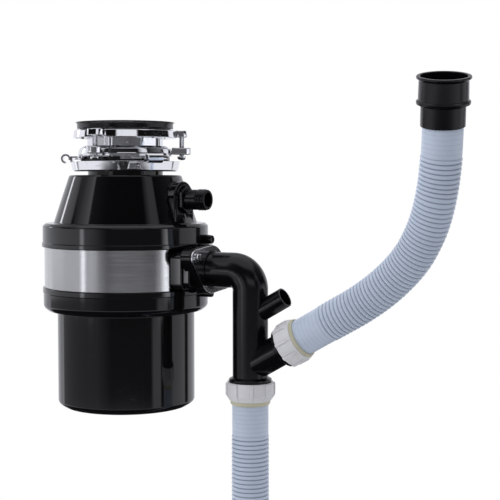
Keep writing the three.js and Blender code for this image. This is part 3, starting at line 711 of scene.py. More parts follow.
def make_adapter():
    """Black cup on the side hose: narrow socket below, flange, wide socket with a rolled lip."""
    profile = [
        (19.9, 0), (21.1, 0, 0.5), (21.1, 20.2, 1.2), (25.2, 20.9, 0.9), (25.4, 23.6, 0.9), (23.6, 25, 1.2),
        (23.2, 43.6, 1.0), (25.6, 44.9, 1.1), (25.6, 47.2, 1.0), (22.0, 47.2, 0.8), (21.8, 27, 1.0),
        (17.6, 25, 0.6), (17.6, 22.4, 0.4), (19.9, 22.4, 0.4),
    ]
    mesh = turned(profile, FINE_ROUND, place=along(ADAPTER_AXIS, ADAPTER_BASE))
    adapter = piece("adapter_cup", mesh, SATIN, "disposer", "waste_adapter")
    return adapter


def make_hoses():
    adapter = make_adapter()
    make_hose("side_hose_ribbed", SIDE_HOSE_ROUTE, 52, 46)
    steps = 20
    drop = (LOWER_HOSE_BOTTOM - LOWER_HOSE_TOP) / (steps - 1)
    hanging = [(PIPE_X, 0, LOWER_HOSE_TOP + drop * i) for i in range(steps)]
    make_hose("lower_hose_ribbed", hanging, 50, 30)


make_hoses()


# ------------------------------------------------------------------ sink mount

def tab(inner_r, tip_r, half_width, steps=14):
    """Round-ended tab from near the axis to its tip, as outline points."""
    tip = arc(tip_r - half_width, 0, half_width, spaced(-math.pi / 2, math.pi / 2, steps))
    return [(inner_r, -half_width), *tip, (inner_r, half_width)]


def sector(inner_r, outer_r, start, stop, steps=14):
    """Outline of part of a ring, between two angles in degrees."""
    angles = [math.radians(angle) for angle in spaced(start, stop, steps)]
    return arc(0, 0, outer_r, angles) + arc(0, 0, inner_r, reversed(angles))


def bolt_drums(radius, low, high):
    places = [about_z(azimuth) @ shifted(BOLT_CIRCLE_R) for azimuth in BOLT_AZIMUTHS]
    return [drum(radius, low, high, place, SCREW_ROUND) for place in places]


def make_sink_parts():
    rim = turned([
        (THROAT_R + 0.6, 0.1, 0.1), (53.6, 0.1, 0.2), (53.7, 0.7, 0.2), (54.9, 0.8, 0.25), (55, 1.5, 0.25),
        (46, 1.4, 0.8), (TUBE_R, 0.9, 0.3), (THROAT_R + 0.6, 0.9, 0.2),
    ])
    piece("rim_lip", rim, RUBBER, "sink_mount", "rim_seal")
    flange = turned([
        (THROAT_R, -41, 0.6), (TUBE_R, -41, 0.6), (TUBE_R, -29.4, 0.1), (41.2, -29.4, 0.1), (41.2, -27, 0.1),
        (TUBE_R, -27, 0.1), (TUBE_R, -2.3, 1), (51.5, -2.3, 0.3), (51.5, -0.3, 0.3), (41.9, -0.3, 1.2),
        (THROAT_R, -2.2, 1),
    ])
    piece("sink_flange_tube", flange, CHROME, "sink_mount", "sink_flange")
    gasket = turned([
        (TUBE_R + 0.3, -6, 0.2), (52.7, -6, 0.5), (53.4, -5.2, 0.5), (53.3, -1.6, 0.8), (53.5, -0.3, 0.2),
        (51.8, -0.3, 0.1), (51.8, -2.6, 0.1), (TUBE_R + 0.3, -2.6, 0.2),
    ])
    piece("sink_gasket_ring", gasket, RUBBER, "sink_mount", "sink_gasket")


def rounded_loop(corners, rounds=2):
    """Cuts the corners of a closed outline again and again until it is smooth."""
    points = [Vector(c) for c in corners]
    for _ in range(rounds):
        cut = []
        for here, after in zip(points, points[1:] + points[:1]):
            cut += [here.lerp(after, 0.25), here.lerp(after, 0.75)]
        points = cut
    return [tuple(p) for p in points]


def both_sides(half):
    """An outline's one half and its mirror image across the X axis."""
    return half + [(x, -y) for x, y in reversed(half)]


def make_support_flange():
    """Pressed ring with a hollow ear for each screw; the ears lean in towards the top."""
    ear_low, ear_lean = -14.8, 0.115
    ring = turned([
        (TUBE_R + 0.5, -6.3, 0.2), (53.8, -6.3, 1.4), (56.6, -8.4, 1.2), (57.5, -15.7, 0.4), (57.1, -16, 0.3),
        (55.7, -16, 0.3), (55, -9.2, 1.2), (53.2, -8.2, 0.8), (TUBE_R + 0.5, -8.2, 0.2),
    ])
    ears, hollows = [], []
    for azimuth in BOLT_AZIMUTHS:
        turn = about_z(azimuth)
        nose = both_sides([(55.9, -9.6), (64.5, -9.2), (68.2, -6.4), (69.4, -2.4)])
        inside = both_sides([(57.9, -7.9), (63.7, -7.6), (66.7, -5.2), (67.7, -2)])
        ear = raised(rounded_loop(nose), ear_low, -7.5, 0.9)
        for vertex in ear.vertices:
            vertex.co.x -= (vertex.co.z - ear_low) * ear_lean
        ear.transform(turn)
        ears.append(ear)
        hollows.append(raised(rounded_loop(inside), -17, -9.2, 0.5, turn))
    mesh = combined([ring, *ears], [*hollows, *bolt_drums(3.25, -17, -5)])
    piece("support_flange_ring", mesh, CHROME, "sink_mount", "support_flange")


def make_mounting_ring():
    dome = turned([
        (TUBE_R + 0.5, -25, 0.3), (46, -25, 2), (50.6, -27.4, 4), (52.3, -33, 4), (52.3, -36, 0.4),
        (50.5, -36, 0.4), (50.4, -33.2, 3), (48.6, -28.6, 3), (45.4, -26.9, 1), (TUBE_R + 0.5, -26.9, 0.3),
    ])
    ears, cuts = [], bolt_drums(3.5, -36, -25)
    for azimuth in BOLT_AZIMUTHS:
        ears.append(raised(tab(51.4, 73.2, 8), -34.1, -26.5, 1.1, about_z(azimuth)))
        cuts.append(raised(tab(53, 71.5, 6.3), -36, -28.3, 0.5, about_z(azimuth)))
    legs = []
    for azimuth in LOOP_AZIMUTHS:
        legs.append(raised(sector(50.4, 52.3, azimuth - 34, azimuth + 30), -40, -35.6, 0.3))
        legs.append(raised(sector(51, 56.6, azimuth - 18, azimuth + 30), -40, -38.3, 0.5))
    mesh = combined([dome, *ears, *legs], cuts)
    piece("mounting_ring_pressing", mesh, CHROME, "sink_mount", "mounting_ring")


def make_mount_screws():
    """Screws with a slotted domed head below the ring and a threaded shank up to the flange."""
    for i, azimuth in enumerate(BOLT_AZIMUTHS):
        place = about_z(azimuth) @ shifted(BOLT_CIRCLE_R)
        base = SCREW_HEAD_Z[i]
        thread = [(2.55, base + 3.9, 0)]
        z = base + 5
        while z < -9.2:
            thread += [(2.55, z, 0), (2.98, z + 0.5, 0)]
            z += 1.0
        thread += [(2.4, -7.8, 0)]
        shank = solid_turned(thread, place=place)
        head = solid_turned([
            (2.2, base, 1.2), (4.4, base + 1, 1.4), (5, base + 2.7, 0.8), (5, base + 4, 0.4),
        ], place=place)
        slot_cut = box_mesh((-6, -0.6, base - 1), (6, 0.6, base + 1.4), place)
        mesh = combined([head, shank], [slot_cut])
        piece(f"mount_screw_threaded_{i + 1}", mesh, CHROME, "sink_mount", f"mount_screw_{i + 1}")


def make_lock_ring():
    cone = turned([
        (43.2, -53, 0.3), (57, -53, 0.8), (58.4, -51.6, 0.9), (60.6, -41.9, 0.3), (59.1, -41.8, 0.3),
        (57.2, -50, 0.8), (56.2, -51.2, 0.6), (43.2, -51.2, 0.3),
    ])
    added = [cone]
    for azimuth in LOOP_AZIMUTHS:
        added.append(raised(sector(58.9, 61, azimuth - 9, azimuth + 9), -43, -36.2, 0.3))
        added.append(raised(sector(53, 61, azimuth - 9, azimuth + 9), -37.9, -36.2, 0.4))
        added.append(rolled_loop(azimuth))
    added.append(bent_lug())
    lug_hole = drum(1.5, 58, 66, about_z(LUG_AZIMUTH) @ along_x((0, 3.6, -45.6)), SCREW_ROUND)
    piece("lock_ring_pressing", combined(added, [lug_hole]), CHROME, "lock_ring", "lock_ring")


def rolled_loop(azimuth):
    """Sheet tab that rises from the ring's edge and curls outward and down into an open roll."""
    angles = [math.radians(angle) for angle in spaced(200, -90, 24)]
    outline = arc(65.6, -38.9, 5.3, angles) + arc(65.6, -38.9, 3.2, reversed(angles))
    sideways = Matrix(((1, 0, 0, 0), (0, 0, 1, 0), (0, 1, 0, 0), (0, 0, 0, 1)))
    return raised(outline, -9, 9, 0.4, about_z(azimuth) @ sideways)


def bent_lug():
    """Small pressed lug on the ring's sloping side, under the nearest loop."""
    outline = [(-7, -50.6), (7, -50.6), (5.6, -43.6), (-5.6, -43.6)]
    place = about_z(LUG_AZIMUTH) @ ONTO_X
    return raised(outline, 58.2, 62.4, 0.8, place)


# ------------------------------------------------------------------ upper body

def make_throat():
    gasket = turned([
        (36, -48.5, 0.6), (50, -48.5, 0.8), (51, -46, 1), (50.6, -42, 0.8), (49.4, -41, 0.6),
        (49.4, -36.8, 1), (42.8, -36.8, 0.5), (42.8, -41.6, 0.2), (36, -41.8, 0.6),
    ])
    piece("mounting_gasket_ring", gasket, RUBBER, "disposer", "mounting_gasket")
    baffle = turned([
        (8, -50.6, 0.5), (30, -46.1, 1), (35.6, -46.1, 0.6), (35.6, -42, 0.6), (32, -42, 0.6), (30, -44.2, 1),
        (8, -48.8, 0.5),
    ])
    slits = [box_mesh((5, -0.5, -53), (27, 0.5, -40), about_z(45 * i)) for i in range(8)]
    piece("splash_guard_flaps", combined([baffle], slits), RUBBER, "disposer", "splash_guard")
    hopper = turned([
        (NECK_R, -50.9, 0.5), (50, -50.9, 0.4), (50, -48.8, 0.4), (36.5, -48.8, 0.6), (36.5, -59, 5),
        (56.5, -88, 0.2), (71, -112, 0.6), (71, -114.3, 0.6), (82.3, -116.5, 0.6), (82.3, -138.2, 0.4),
        (84.5, -138.2, 0.4), (84.5, -114.2, 1), (73.6, -112, 1), (59.1, -88, 0.2), (NECK_R, -61, 3),
    ])
    mesh = combined([hopper], [drum(8, 40, 90, AT_INLET)])
    piece("hopper_bowl", mesh, GLOSS, "disposer", "hopper")


def arch_outline(half_width, foot, steps=24):
    arch = arc(0, 0, half_width, spaced(0, math.pi, steps))
    return [(half_width, foot), *arch, (-half_width, foot)]


def make_top_cover():
    shell = turned([
        (NECK_R + 0.4, -57.1, 0.4), (62.3, -57, 3.2), (79.9, -110, 1.4), (88.6, -110.1, 1.8),
        (92.1, -112.9, 2.6), (92.2, -131, 0.4), (93.1, -131.6, 0.4), (93.1, -136, 0.6), (89.6, -136, 0.2),
        (89.6, -115.5, 1), (87.2, -112.8, 0.6), (77.6, -112.8, 0.6), (60.4, -62, 3), (58.6, -60.3, 1),
        (NECK_R + 0.4, -60.3, 0.4),
    ])
    boss = raised(arch_outline(20, -27.6), 62, 76.5, 1.6, AT_INLET)
    collar = raised(arch_outline(16.5, -16), 74, 77.4, 0.8, AT_INLET)
    post = solid_turned([(5.2, 84, 0), (5.2, 96.5, 0.3), (4.6, 101.5, 1.2)], place=along_x((0, 18, -127.5)))
    hollow_cone = solid_turned([(77.6, -112.8, 0), (60.4, -62, 3), (58.6, -60.3, 1)], ROUND)
    hollow_collar = solid_turned([(89.6, -150, 0), (89.6, -115.5, 1), (87.2, -112.9, 0.6)], ROUND)
    bores = [drum(11.3, 66, 90, AT_INLET), drum(8, 50, 90, AT_INLET)]
    mesh = combined([shell, boss, collar, post], [hollow_cone, hollow_collar, *bores])
    piece("top_cover_shell", mesh, GLOSS, "disposer", "top_cover")


def make_dishwasher_inlet():
    """Stub with a hexagon collar against the boss and three hose barbs near its end."""
    profile = [(8, 66), (11, 66, 0.2), (11, 95.4, 0.2)]
    for i in range(3):
        profile += [(11.55, 96.4 + i * 3.2, 0.25), (10.7, 97.8 + i * 3.2, 0.25)]
    profile += [(11, 105.6, 0.5), (10.4, 106.4, 0.4), (8, 106.4, 0.4)]
    stub = turned(profile, FINE_ROUND, place=AT_INLET)
    collar = raised(hexagon(15.8, 0.5), 77.7, 82, 0.7, AT_INLET)
    hollow = combined([collar], [drum(9.5, 76, 84, AT_INLET)])
    piece("dishwasher_stub", combined([stub, hollow]), SATIN, "disposer", "dishwasher_inlet")


# ------------------------------------------------------------------ band, drain housing, motor can

def make_band():
    ring = turned([
        (89.4, -180.7, 0.1), (90.3, -180.7, 0.3), (90.3, -136.3, 0.3), (89.4, -136.3, 0.1),
    ], ROUND * 2)
    window = rounded_rectangle(-39.3, -195, 39.3, -120, 9)
    cut = raised(window, 60, 100, 0, ONTO_X)
    piece("brushed_band", combined([ring], [cut]), BAND, "disposer", "steel_band")


def rounded_rectangle(x0, y0, x1, y1, r, steps=8):
    outline = []
    left, right, low, high = x0 + r, x1 - r, y0 + r, y1 - r
    for cx, cy, start in ((right, low, -90), (right, high, 0), (left, high, 90), (left, low, 180)):
        outline += arc(cx, cy, r, [math.radians(angle) for angle in spaced(start, start + 90, steps)])
    return outline


def plate_screws():
    """Placements of the two screws of the outlet's flange plate."""
    y = PLATE_SCREW_R * math.cos(math.radians(PLATE_TILT))
    z = PLATE_SCREW_R * math.sin(math.radians(PLATE_TILT))
    return [along_x((0, -y, OUTLET_Z + z)), along_x((0, y, OUTLET_Z - z))]


def oval_outline(middle_r, ear_r, steps=16):
    """Round middle joined to two round ears by straight tangent sides."""
    lean = math.asin((middle_r - ear_r) / PLATE_SCREW_R)
    outline = []
    for side in (180 - PLATE_TILT, 360 - PLATE_TILT):
        axis = math.radians(side)
        ear = (PLATE_SCREW_R * math.cos(axis), PLATE_SCREW_R * math.sin(axis))
        start, stop = axis - math.pi / 2 + lean, axis + math.pi / 2 - lean
        outline += arc(*ear, ear_r, spaced(start, stop, steps))
        outline += arc(0, 0, middle_r, spaced(stop, start + math.pi, steps))
    return outline


def make_drain_housing():
    pan = turned([
        (84.3, -138.7, 0.3), (89.1, -138.7, 0.3), (89.1, -178.4, 0.3), (16.3, -178.4, 0.3),
        (16.3, -168.2, 0.2), (8.6, -168.2, 0.2), (8.6, -152.3, 0.2), (15.9, -152.3, 0.2),
        (15.9, -146, 0.3), (21, -146, 1),
        (21, -169, 2), (24, -172, 1), (78, -172, 3), (84.3, -165, 3),
    ])
    steps = [
        raised(rounded_rectangle(-38, -179.6, 38, -138.9, 7), 80, 95.5, 1.4, ONTO_X),
        raised(rounded_rectangle(-35, -176, 35, -141.6, 5), 90, 103, 1.2, ONTO_X),
        raised(oval_outline(26.8, 10.2), 97.6, 109.7, 0.8, AT_OUTLET),
    ]
    chamber = drum(84.3, -172, -130, sides=ROUND)
    boss = combined(steps, [chamber])
    cuts = [drum(16, 78, 120, AT_OUTLET), drum(24.6, 105.9, 120, AT_OUTLET)]
    cuts += [drum(2.8, 98.8, 120, place, SCREW_ROUND) for place in plate_screws()]
    piece("drain_housing_casting", combined([pan, boss], cuts), GLOSS, "disposer", "drain_housing")


def make_trim_and_can():
    trim = turned([
        (89.2, -181, 0.2), (92.4, -181, 0.6), (92.4, -186.4, 0.6), (91.7, -187, 0.4), (91.6, -202.5, 6.5),
        (86.5, -206.8, 4), (76.8, -209.2, 0.4), (76.8, -207.2, 0.3), (85.4, -205, 1), (88.8, -201, 3),
    ])
    post = solid_turned([(3.4, 88, 0), (3.4, 98.5, 0.3), (3, 101.5, 1)], place=along_x((0, 18, -187.5)))
    piece("lower_trim_shell", combined([trim, post]), GLOSS, "disposer", "lower_trim_ring")
    can = solid_turned([(70, -314, 4), (76.4, -309.5, 5), (76.4, -178.8, 0.3)], ROUND)
    inside = solid_turned([(69, -312.4, 3), (74.8, -308, 4), (74.8, -170, 0)], ROUND)
    holes = [drum(radius, -316, -310, shifted(x)) for radius, x in ((9, 0), (6.8, -46), (7.5, 38))]
    piece("motor_can_drawn", combined([can], [inside, *holes]), GLOSS, "disposer", "motor_can")


def make_base_fittings():
    lid = raised(rounded_rectangle(20, -18, 56, 18, 4), -316.3, -314.3, 0.6)
    mesh = combined([lid], [drum(7.5, -318, -312, shifted(38))])
    piece("terminal_lid", mesh, STEEL, "disposer", "terminal_cover")
    at_screw = shifted(38, 14.4, 0)
    head = solid_turned([(3, -319, 0.6), (4, -318, 0.6), (4, -316.6, 0.2)], place=at_screw)
    cross = [
        box_mesh((-2.6, -0.45, -320), (2.6, 0.45, -318.2), at_screw @ about_z(turn)) for turn in (0, 90)
    ]
    piece("terminal_lid_screw", combined([head], cross), CHROME, "disposer", "terminal_cover_screw")
    gland = turned([
        (4.5, -319.8, 0.4), (7, -319.8, 0.6), (10, -318.4, 0.6), (10, -316.6, 0.5), (7, -316.6, 0.2),
        (7, -309, 0.3), (4.5, -309, 0.5),
    ], FINE_ROUND, place=shifted(38))
    piece("cable_gland_bush", gland, RUBBER, "disposer", "cable_gland")
    button = solid_turned([(4.4, -319, 0.9), (5.8, -317.8, 0.9), (5.8, -311.9, 0.3)], FINE_ROUND,
                          place=shifted(-46))
    piece("reset_button_cap", button, RED, "reset_button", "reset_button")


# ------------------------------------------------------------------ discharge pipework

def make_flange_plate():
    plate = raised(oval_outline(26, 9.2), 110, 112, 0.5, AT_OUTLET)
    holes = [drum(21.2, 100, 120, AT_OUTLET)]
    holes += [drum(3, 100, 120, place, SCREW_ROUND) for place in plate_screws()]
    piece("flange_plate_pressing", combined([plate], holes), CHROME, "disposer", "flange_plate")
    for i, place in enumerate(plate_screws()):
        head = raised(hexagon(5, 0), 112.9, 115.8, 0.5, place)
        washer = solid_turned([(5.6, 112.2, 0.2), (5.6, 113.1, 0.2)], place=place)
        shank = solid_turned([(2.5, 99.3, 0.4), (2.5, 113.5, 0)], place=place)
        cross = [
            box_mesh((-2.4, -0.5, 114.8), (2.4, 0.5, 117), place @ about_z(turn)) for turn in (25, 115)
        ]
        mesh = combined([head, washer, shank], cross)
        piece(f"flange_screw_hex_{i + 1}", mesh, CHROME, "disposer", f"flange_screw_{i + 1}")


def elbow_run(radius, start_x, bottom):
    """Bar that follows the elbow's axis: level, a tight quarter bend, then straight down."""
    points = [(start_x, 0, OUTLET_Z), (PIPE_X - BEND_R - 4, 0, OUTLET_Z)]
    for k in range(21):
        angle = math.pi / 2 * k / 20
        points.append((
            PIPE_X - BEND_R + BEND_R * math.sin(angle), 0, OUTLET_Z - BEND_R + BEND_R * math.cos(angle),
        ))
    points += [(PIPE_X, 0, OUTLET_Z - BEND_R - 4), (PIPE_X, 0, bottom)]
    return swept(radius, points)


def nearest_on_run(point):
    """Nearest point on the elbow's own axis."""
    centre = Vector((PIPE_X - BEND_R, 0, OUTLET_Z - BEND_R))
    if point.x < centre.x:
        return Vector((point.x, 0, OUTLET_Z))
    if point.z < centre.z:
        return Vector((PIPE_X, 0, point.z))
    outward = Vector((point.x - centre.x, 0, point.z - centre.z))
    return centre + outward.normalized() * BEND_R if outward.length > 1e-6 else centre


def nearest_on_branch(root_z):
    root = Vector((PIPE_X, 0, root_z))
    return lambda point: root + BRANCH * (point - root).dot(BRANCH)


def round_normals(mesh, axes):
    """Gives every face that lies round one of the axes the exact normals of its own round surface."""
    normals = [Vector((0, 0, 0))] * len(mesh.loops)
    for face in mesh.polygons:
        best = None
        for nearest, radii in axes:
            arm = face.center - nearest(face.center)
            if arm.length < 1e-6 or abs(arm.normalized().dot(face.normal)) < 0.985:
                continue
            miss = min(abs(arm.length - radius) for radius in radii)
            if best is None or miss < best[0]:
                best = (miss, nearest, 1 if arm.dot(face.normal) > 0 else -1)
        for loop in face.loop_indices:
            normals[loop] = face.normal.copy()
            if best is not None:
                here = mesh.vertices[mesh.loops[loop].vertex_index].co
                normals[loop] = (here - best[1](here)).normalized() * best[2]
    return normals


def make_elbow():
    upright = shifted(PIPE_X)
    small = along(BRANCH, (PIPE_X, 0, SMALL_ROOT_Z))
    side = along(BRANCH, SIDE_ROOT)
    walls = [
        elbow_run(PIPE_R, 108.3, -277),
        solid_turned([(23.7, 108.1, 0.2), (23.7, 109.7, 0.3)], FINE_ROUND, place=AT_OUTLET),
        solid_turned([(20.9, 109.5, 0), (20.9, 112.8, 1.2)], FINE_ROUND, place=AT_OUTLET),
        solid_turned([(22.3, -276.4, 0.4), (22.8, -275.4, 0.5), (22.8, -273.4, 0.8), (19.4, -271.6, 0.8)],
                     FINE_ROUND, place=upright),
        solid_turned([(22.2, -288, 0.4), (22.2, -274, 0)], FINE_ROUND, place=upright),
        solid_turned([(10.7, 0, 0), (10.7, 47.3, 0.5)], FINE_ROUND, place=small),
        drum(16.7, 0, 46, side),
        solid_turned([(19.4, 43.7, 0.5), (21.2, 45.5, 0.4), (21.2, 59, 0.4)], FINE_ROUND, place=side),
    ]
    bores = [
        elbow_run(16.6, 100, -293),
        drum(19.8, -293, -280, upright),
        drum(9.2, 6, 54, small),
        drum(14.2, 6, 64, side),
        drum(19.8, 49, 64, side),
    ]
    mesh = combined(walls, bores)
    normals = round_normals(mesh, [
        (nearest_on_run, (16.6, PIPE_R, 19.8, 20.9, 22.2)), (nearest_on_branch(SMALL_ROOT_Z), (9.2, 10.7)),
        (nearest_on_branch(SIDE_ROOT_Z), (14.2, 16.7, 19.8, 21.2)),
    ])
    elbow = piece("discharge_elbow_moulding", mesh, SATIN, "disposer", "discharge_elbow", weighted=False)
    elbow.data.normals_split_custom_set(normals)


GRIPS = 9
GRIP_HALF = math.radians(3.9) + 0.01
GRIP_EDGE = 0.014
GRIP_HEIGHT = 1.3


def nut_mesh(outer_r, thread_r, length, place):
    """Union nut: nine raised grips on a smooth body that chamfers in towards the hose."""
    body_end = length * 0.66

    def grips(angle, radius, height):
        if radius < thread_r + 0.8:
            return radius, height
        away = abs((angle * GRIPS / TURN + 0.5) % 1 - 0.5) * TURN / GRIPS
        raise_by = min(max((GRIP_HALF - away) / GRIP_EDGE, 0), 1)
        return radius - GRIP_HEIGHT * (1 - raise_by), height

    return turned([
        (thread_r, 0, 0.3), (outer_r - 0.9, 0, 0.8), (outer_r, 1.2, 0.8), (outer_r, body_end, 1.2),
        (22.2, length, 0.8), (20.9, length, 0.3), (20.9, body_end + 0.5, 0.3), (thread_r, body_end, 0.3),
    ], NUT_ROUND, place=place, shape=grips)


def seal_mesh(flange_r, length, place):
    """Flange hidden under the nut, a sleeve, and beyond the nut a raised lip with a groove after it."""
    return turned([
        (19.75, 0, 0.2), (flange_r, 0, 0.3), (flange_r, 2.4, 0.3), (20.5, 3, 0.3), (20.6, length - 4.6, 0.2),
        (21.4, length - 4.3, 0.3), (21.4, length - 1.4, 0.5), (20.4, length - 0.8, 0.2), (20.4, length, 0.2),
        (19.75, length, 0.3),
    ], FINE_ROUND, place=place)


def make_nuts():
    down = shifted(PIPE_X, 0, -276.7) @ Matrix.Rotation(math.pi, 4, "X") @ about_z(19)
    piece("lower_nut_gripped", nut_mesh(26.7, 22.6, 19.6, down), NUT, "disposer", "lower_nut", sharp=50)
    seal_down = shifted(PIPE_X, 0, -288.3) @ Matrix.Rotation(math.pi, 4, "X")
    piece("lower_seal_ring", seal_mesh(22.1, 12.5, seal_down), OLIVE, "disposer", "lower_seal")
    outward = along(BRANCH, SIDE_ROOT + BRANCH * 49) @ about_z(12)
    piece("side_nut_gripped", nut_mesh(24.3, 21.6, 19.2, outward), NUT, "disposer", "side_nut", sharp=50)
    seal_out = along(BRANCH, SIDE_ROOT + BRANCH * 59.3)
    piece("side_seal_ring", seal_mesh(21.1, 12.7, seal_out), OLIVE, "disposer", "side_seal")


# ------------------------------------------------------------------ inner parts that keep their CAD shape

INNER_FINISHES = {
    "snap_ring": STEEL, "grind_ring": STEEL, "shaft_seal": RUBBER, "upper_bearing": STEEL,
    "stator_core": STEEL, "upper_winding": COPPER, "lower_winding": COPPER, "lower_end_frame": CAST,
    "lower_bearing": STEEL, "through_bolt_1": STEEL, "through_bolt_2": STEEL, "through_bolt_3": STEEL,
    "through_bolt_4": STEEL, "overload_protector": SATIN, "discharge_gasket": RUBBER, "turntable": STEEL,
    "motor_shaft": STEEL, "rotor_core": CAST, "shaft_nut": STEEL, "lug_pin_1": STEEL, "lug_pin_2": STEEL,
    "impeller_lug_1": STEEL, "impeller_lug_2": STEEL,
}


def finish_inner_parts():
    for name, material in INNER_FINISHES.items():
        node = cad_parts[name]
        if not node.material_slots:
            node.data.materials.append(material)
        for material_slot in node.material_slots:
            material_slot.material = material


# ------------------------------------------------------------------ studio

# Brightness of the room by degrees to the right of the camera, in six belts of height.
FLOOR_BELT = [(-180, 0.9), (-100, 0.95), (40, 0.95), (180, 0.9)]
LOW_BELT = [
    (-180, 0.9), (-130, 0.9), (-128, 1.2), (-124, 1.2), (-122, 0.4), (-45, 0.4), (-20, 0.09), (47, 0.09),
    (52, 1.0), (64, 1.0), (66, 0.02), (83, 0.02), (86, 0.9), (120, 0.9), (122, 0.05), (130, 0.05), (133, 0.9),
    (180, 0.9),
]
STRIP_BELT = [
    (-180, 0.9), (-60, 1.2), (-58, 4.5), (-54, 4.5), (-52, 1.2), (-20, 0.1), (55, 0.1), (63, 4.0), (70, 4.0),
    (72, 0.05), (83, 0.05), (86, 0.9), (118, 0.9), (120, 0.05), (130, 0.05), (133, 0.9), (180, 0.9),
]
LEVEL_BELT = [
    (-180, 0.9), (-92, 0.9), (-90, 0.45), (-47, 0.45), (-45, 1.0), (-35, 1.0), (-33, 0.13), (-10, 0.14),
    (20, 0.10), (54, 0.13), (57, 1.1), (110, 1.1), (112, 0.05), (125, 0.05), (127, 1.0), (180, 0.9),
]
MIDDLE_BELT = [
    (-180, 0.9), (-127, 0.9), (-125.5, 8.0), (-122.5, 8.0), (-121, 1.0), (-98, 1.0), (-95, 0.006),
    (-16, 0.006), (-12, 0.9), (30, 0.9), (34, 0.006), (118, 0.006), (122, 0.95), (180, 0.9),
]
HIGH_BELT = [
    (-180, 0.5), (-140, 0.5), (-110, 0.2), (-85, 0.4), (-68, 1.2), (-61.5, 1.8), (-59.5, 0.12), (-30, 0.02),
    (40, 0.01), (52, 0.8), (64, 0.8), (66, 0.01), (120, 0.2), (150, 0.5), (180, 0.5),
]
HIGHER_BELTS = [      # each with the heights in degrees between which it takes over
    (LOW_BELT, -12, -11), (STRIP_BELT, -6.4, -6), (LEVEL_BELT, -1.5, 0), (MIDDLE_BELT, 7, 9),
    (HIGH_BELT, 21, 24),
]
BRIGHTEST = 8.0
OVERHEAD = 0.95
OVERHEAD_EDGE = (48, 58)
BELOW = 0.02
BELOW_EDGE = (-24, -21)
ROOM_TINT = (0.93, 0.945, 1.0, 1)
SOFT_LIGHT = 0.95     # what matt surfaces receive on average
SKY_LIGHT = 0.2       # how much more they receive from above
LEFT_LIGHT = 0.28     # how much more they receive from the left
REAR_LIGHT = 0.55     # how much more they receive from behind


class Room(Tree):
    """World nodes: one brightness for each direction, from belts of panels round the object."""

    def __init__(self, tree):
        self.nodes, self.links = tree.nodes, tree.links
        self.nodes.clear()

    def dot(self, vector, axis):
        node = self.nodes.new("ShaderNodeVectorMath")
        node.operation = "DOT_PRODUCT"
        node.inputs[1].default_value = axis
        self.links.new(vector, node.inputs[0])
        return node.outputs["Value"]

    def belt(self, turn_fraction, stops):
        node = self.nodes.new("ShaderNodeValToRGB")
        elements = node.color_ramp.elements
        elements.remove(elements[1])
        elements[0].position = 0
        for i, (degrees, brightness) in enumerate(stops):
            spot = elements[0] if i == 0 else elements.new((degrees + 180) / 360)
            share = brightness / BRIGHTEST
            spot.color = (share, share, share, 1)
        self.links.new(turn_fraction, node.inputs["Fac"])
        return self.maths("MULTIPLY", node.outputs["Color"], BRIGHTEST)

    def blend(self, value, other, height, start, end):
        """Goes over from one brightness to another between two heights in degrees."""
        mask = self.nodes.new("ShaderNodeMapRange")
        mask.interpolation_type = "SMOOTHSTEP"
        mask.inputs["From Min"].default_value = start
        mask.inputs["From Max"].default_value = end
        self.links.new(height, mask.inputs["Value"])
        mix = self.nodes.new("ShaderNodeMix")
        self.links.new(mask.outputs["Result"], mix.inputs["Factor"])
        self.feed(mix.inputs[2], value)
        self.feed(mix.inputs[3], other)
        return mix.outputs[0]

    def background(self, strength, colour=(1, 1, 1, 1)):
        node = self.nodes.new("ShaderNodeBackground")
        node.inputs["Color"].default_value = colour
        self.feed(node.inputs["Strength"], strength)
        return node.outputs["Background"]

    def either(self, mask, plain, chosen):
        mix = self.nodes.new("ShaderNodeMixShader")
        self.links.new(mask, mix.inputs["Fac"])
        self.links.new(plain, mix.inputs[1])
        self.links.new(chosen, mix.inputs[2])
        return mix.outputs["Shader"]


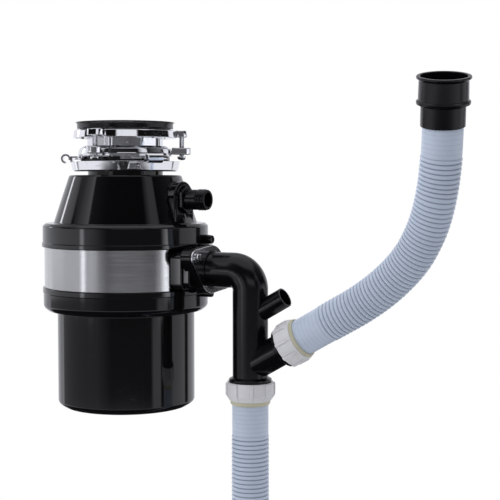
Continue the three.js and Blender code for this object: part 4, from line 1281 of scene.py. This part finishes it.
def make_world():
    """White behind the object; panels that gloss reflects; even soft light on matt surfaces."""
    world = bpy.data.worlds.new("studio")
    world.use_nodes = True
    world.cycles.sampling_method = "NONE"
    bpy.context.scene.world = world
    room = Room(world.node_tree)
    direction = room.nodes.new("ShaderNodeTexCoord").outputs["Generated"]
    facing = room.dot(direction, tuple(TOWARDS_CAMERA))
    rightward = room.dot(direction, (-TOWARDS_CAMERA.y, TOWARDS_CAMERA.x, 0))
    upward = room.dot(direction, (0, 0, 1))
    turn = room.maths("ARCTAN2", rightward, facing)
    turn_fraction = room.maths("ADD", room.maths("DIVIDE", turn, TURN), 0.5)
    height = room.maths("DEGREES", room.maths("ARCSINE", upward))
    panels = room.belt(turn_fraction, FLOOR_BELT)
    for stops, start, end in HIGHER_BELTS:
        panels = room.blend(panels, room.belt(turn_fraction, stops), height, start, end)
    panels = room.blend(panels, OVERHEAD, height, *OVERHEAD_EDGE)
    panels = room.blend(BELOW, panels, height, *BELOW_EDGE)
    soft = room.maths("ADD", room.maths("MULTIPLY", upward, SKY_LIGHT), SOFT_LIGHT)
    soft = room.maths("SUBTRACT", soft, room.maths("MULTIPLY", rightward, LEFT_LIGHT))
    soft = room.maths("SUBTRACT", soft, room.maths("MULTIPLY", facing, REAR_LIGHT))
    ray = room.nodes.new("ShaderNodeLightPath")
    glossy = room.background(panels, ROOM_TINT)
    seen = room.either(ray.outputs["Is Diffuse Ray"], glossy, room.background(soft))
    seen = room.either(ray.outputs["Is Camera Ray"], seen, room.background(1.0))
    room.links.new(seen, room.nodes.new("ShaderNodeOutputWorld").inputs["Surface"])


FLOOR_R = 0.95                     # metres, as is the centre
FLOOR_CENTRE = (0.1, 0, -0.9)
FLOOR_SIDES = 96


def make_floor():
    """Pale round floor well under the sink. Glossy surfaces don't reflect it."""
    floor = Finish("pale_floor", (0.8, 0.8, 0.8), 0.8)
    floor.roughen(floor.ramp(floor.noise(3, 3), 0.3, 0.7), 0.1)
    bm = bmesh.new()
    bmesh.ops.create_circle(bm, cap_ends=True, segments=FLOOR_SIDES, radius=FLOOR_R)
    mesh = taken_from(bm)
    mesh.materials.append(floor.material)
    item = bpy.data.objects.new("floor", mesh)
    item.location = FLOOR_CENTRE
    bpy.context.scene.collection.objects.link(item)
    item.visible_glossy = False


def make_studio():
    make_world()
    make_floor()
    bpy.context.scene.view_settings.view_transform = "Standard"


make_sink_parts()
make_support_flange()
make_mounting_ring()
make_mount_screws()
make_lock_ring()
make_throat()
make_top_cover()
make_dishwasher_inlet()
make_band()
make_drain_housing()
make_trim_and_can()
make_base_fittings()
make_flange_plate()
make_elbow()
make_nuts()
finish_inner_parts()
make_studio()
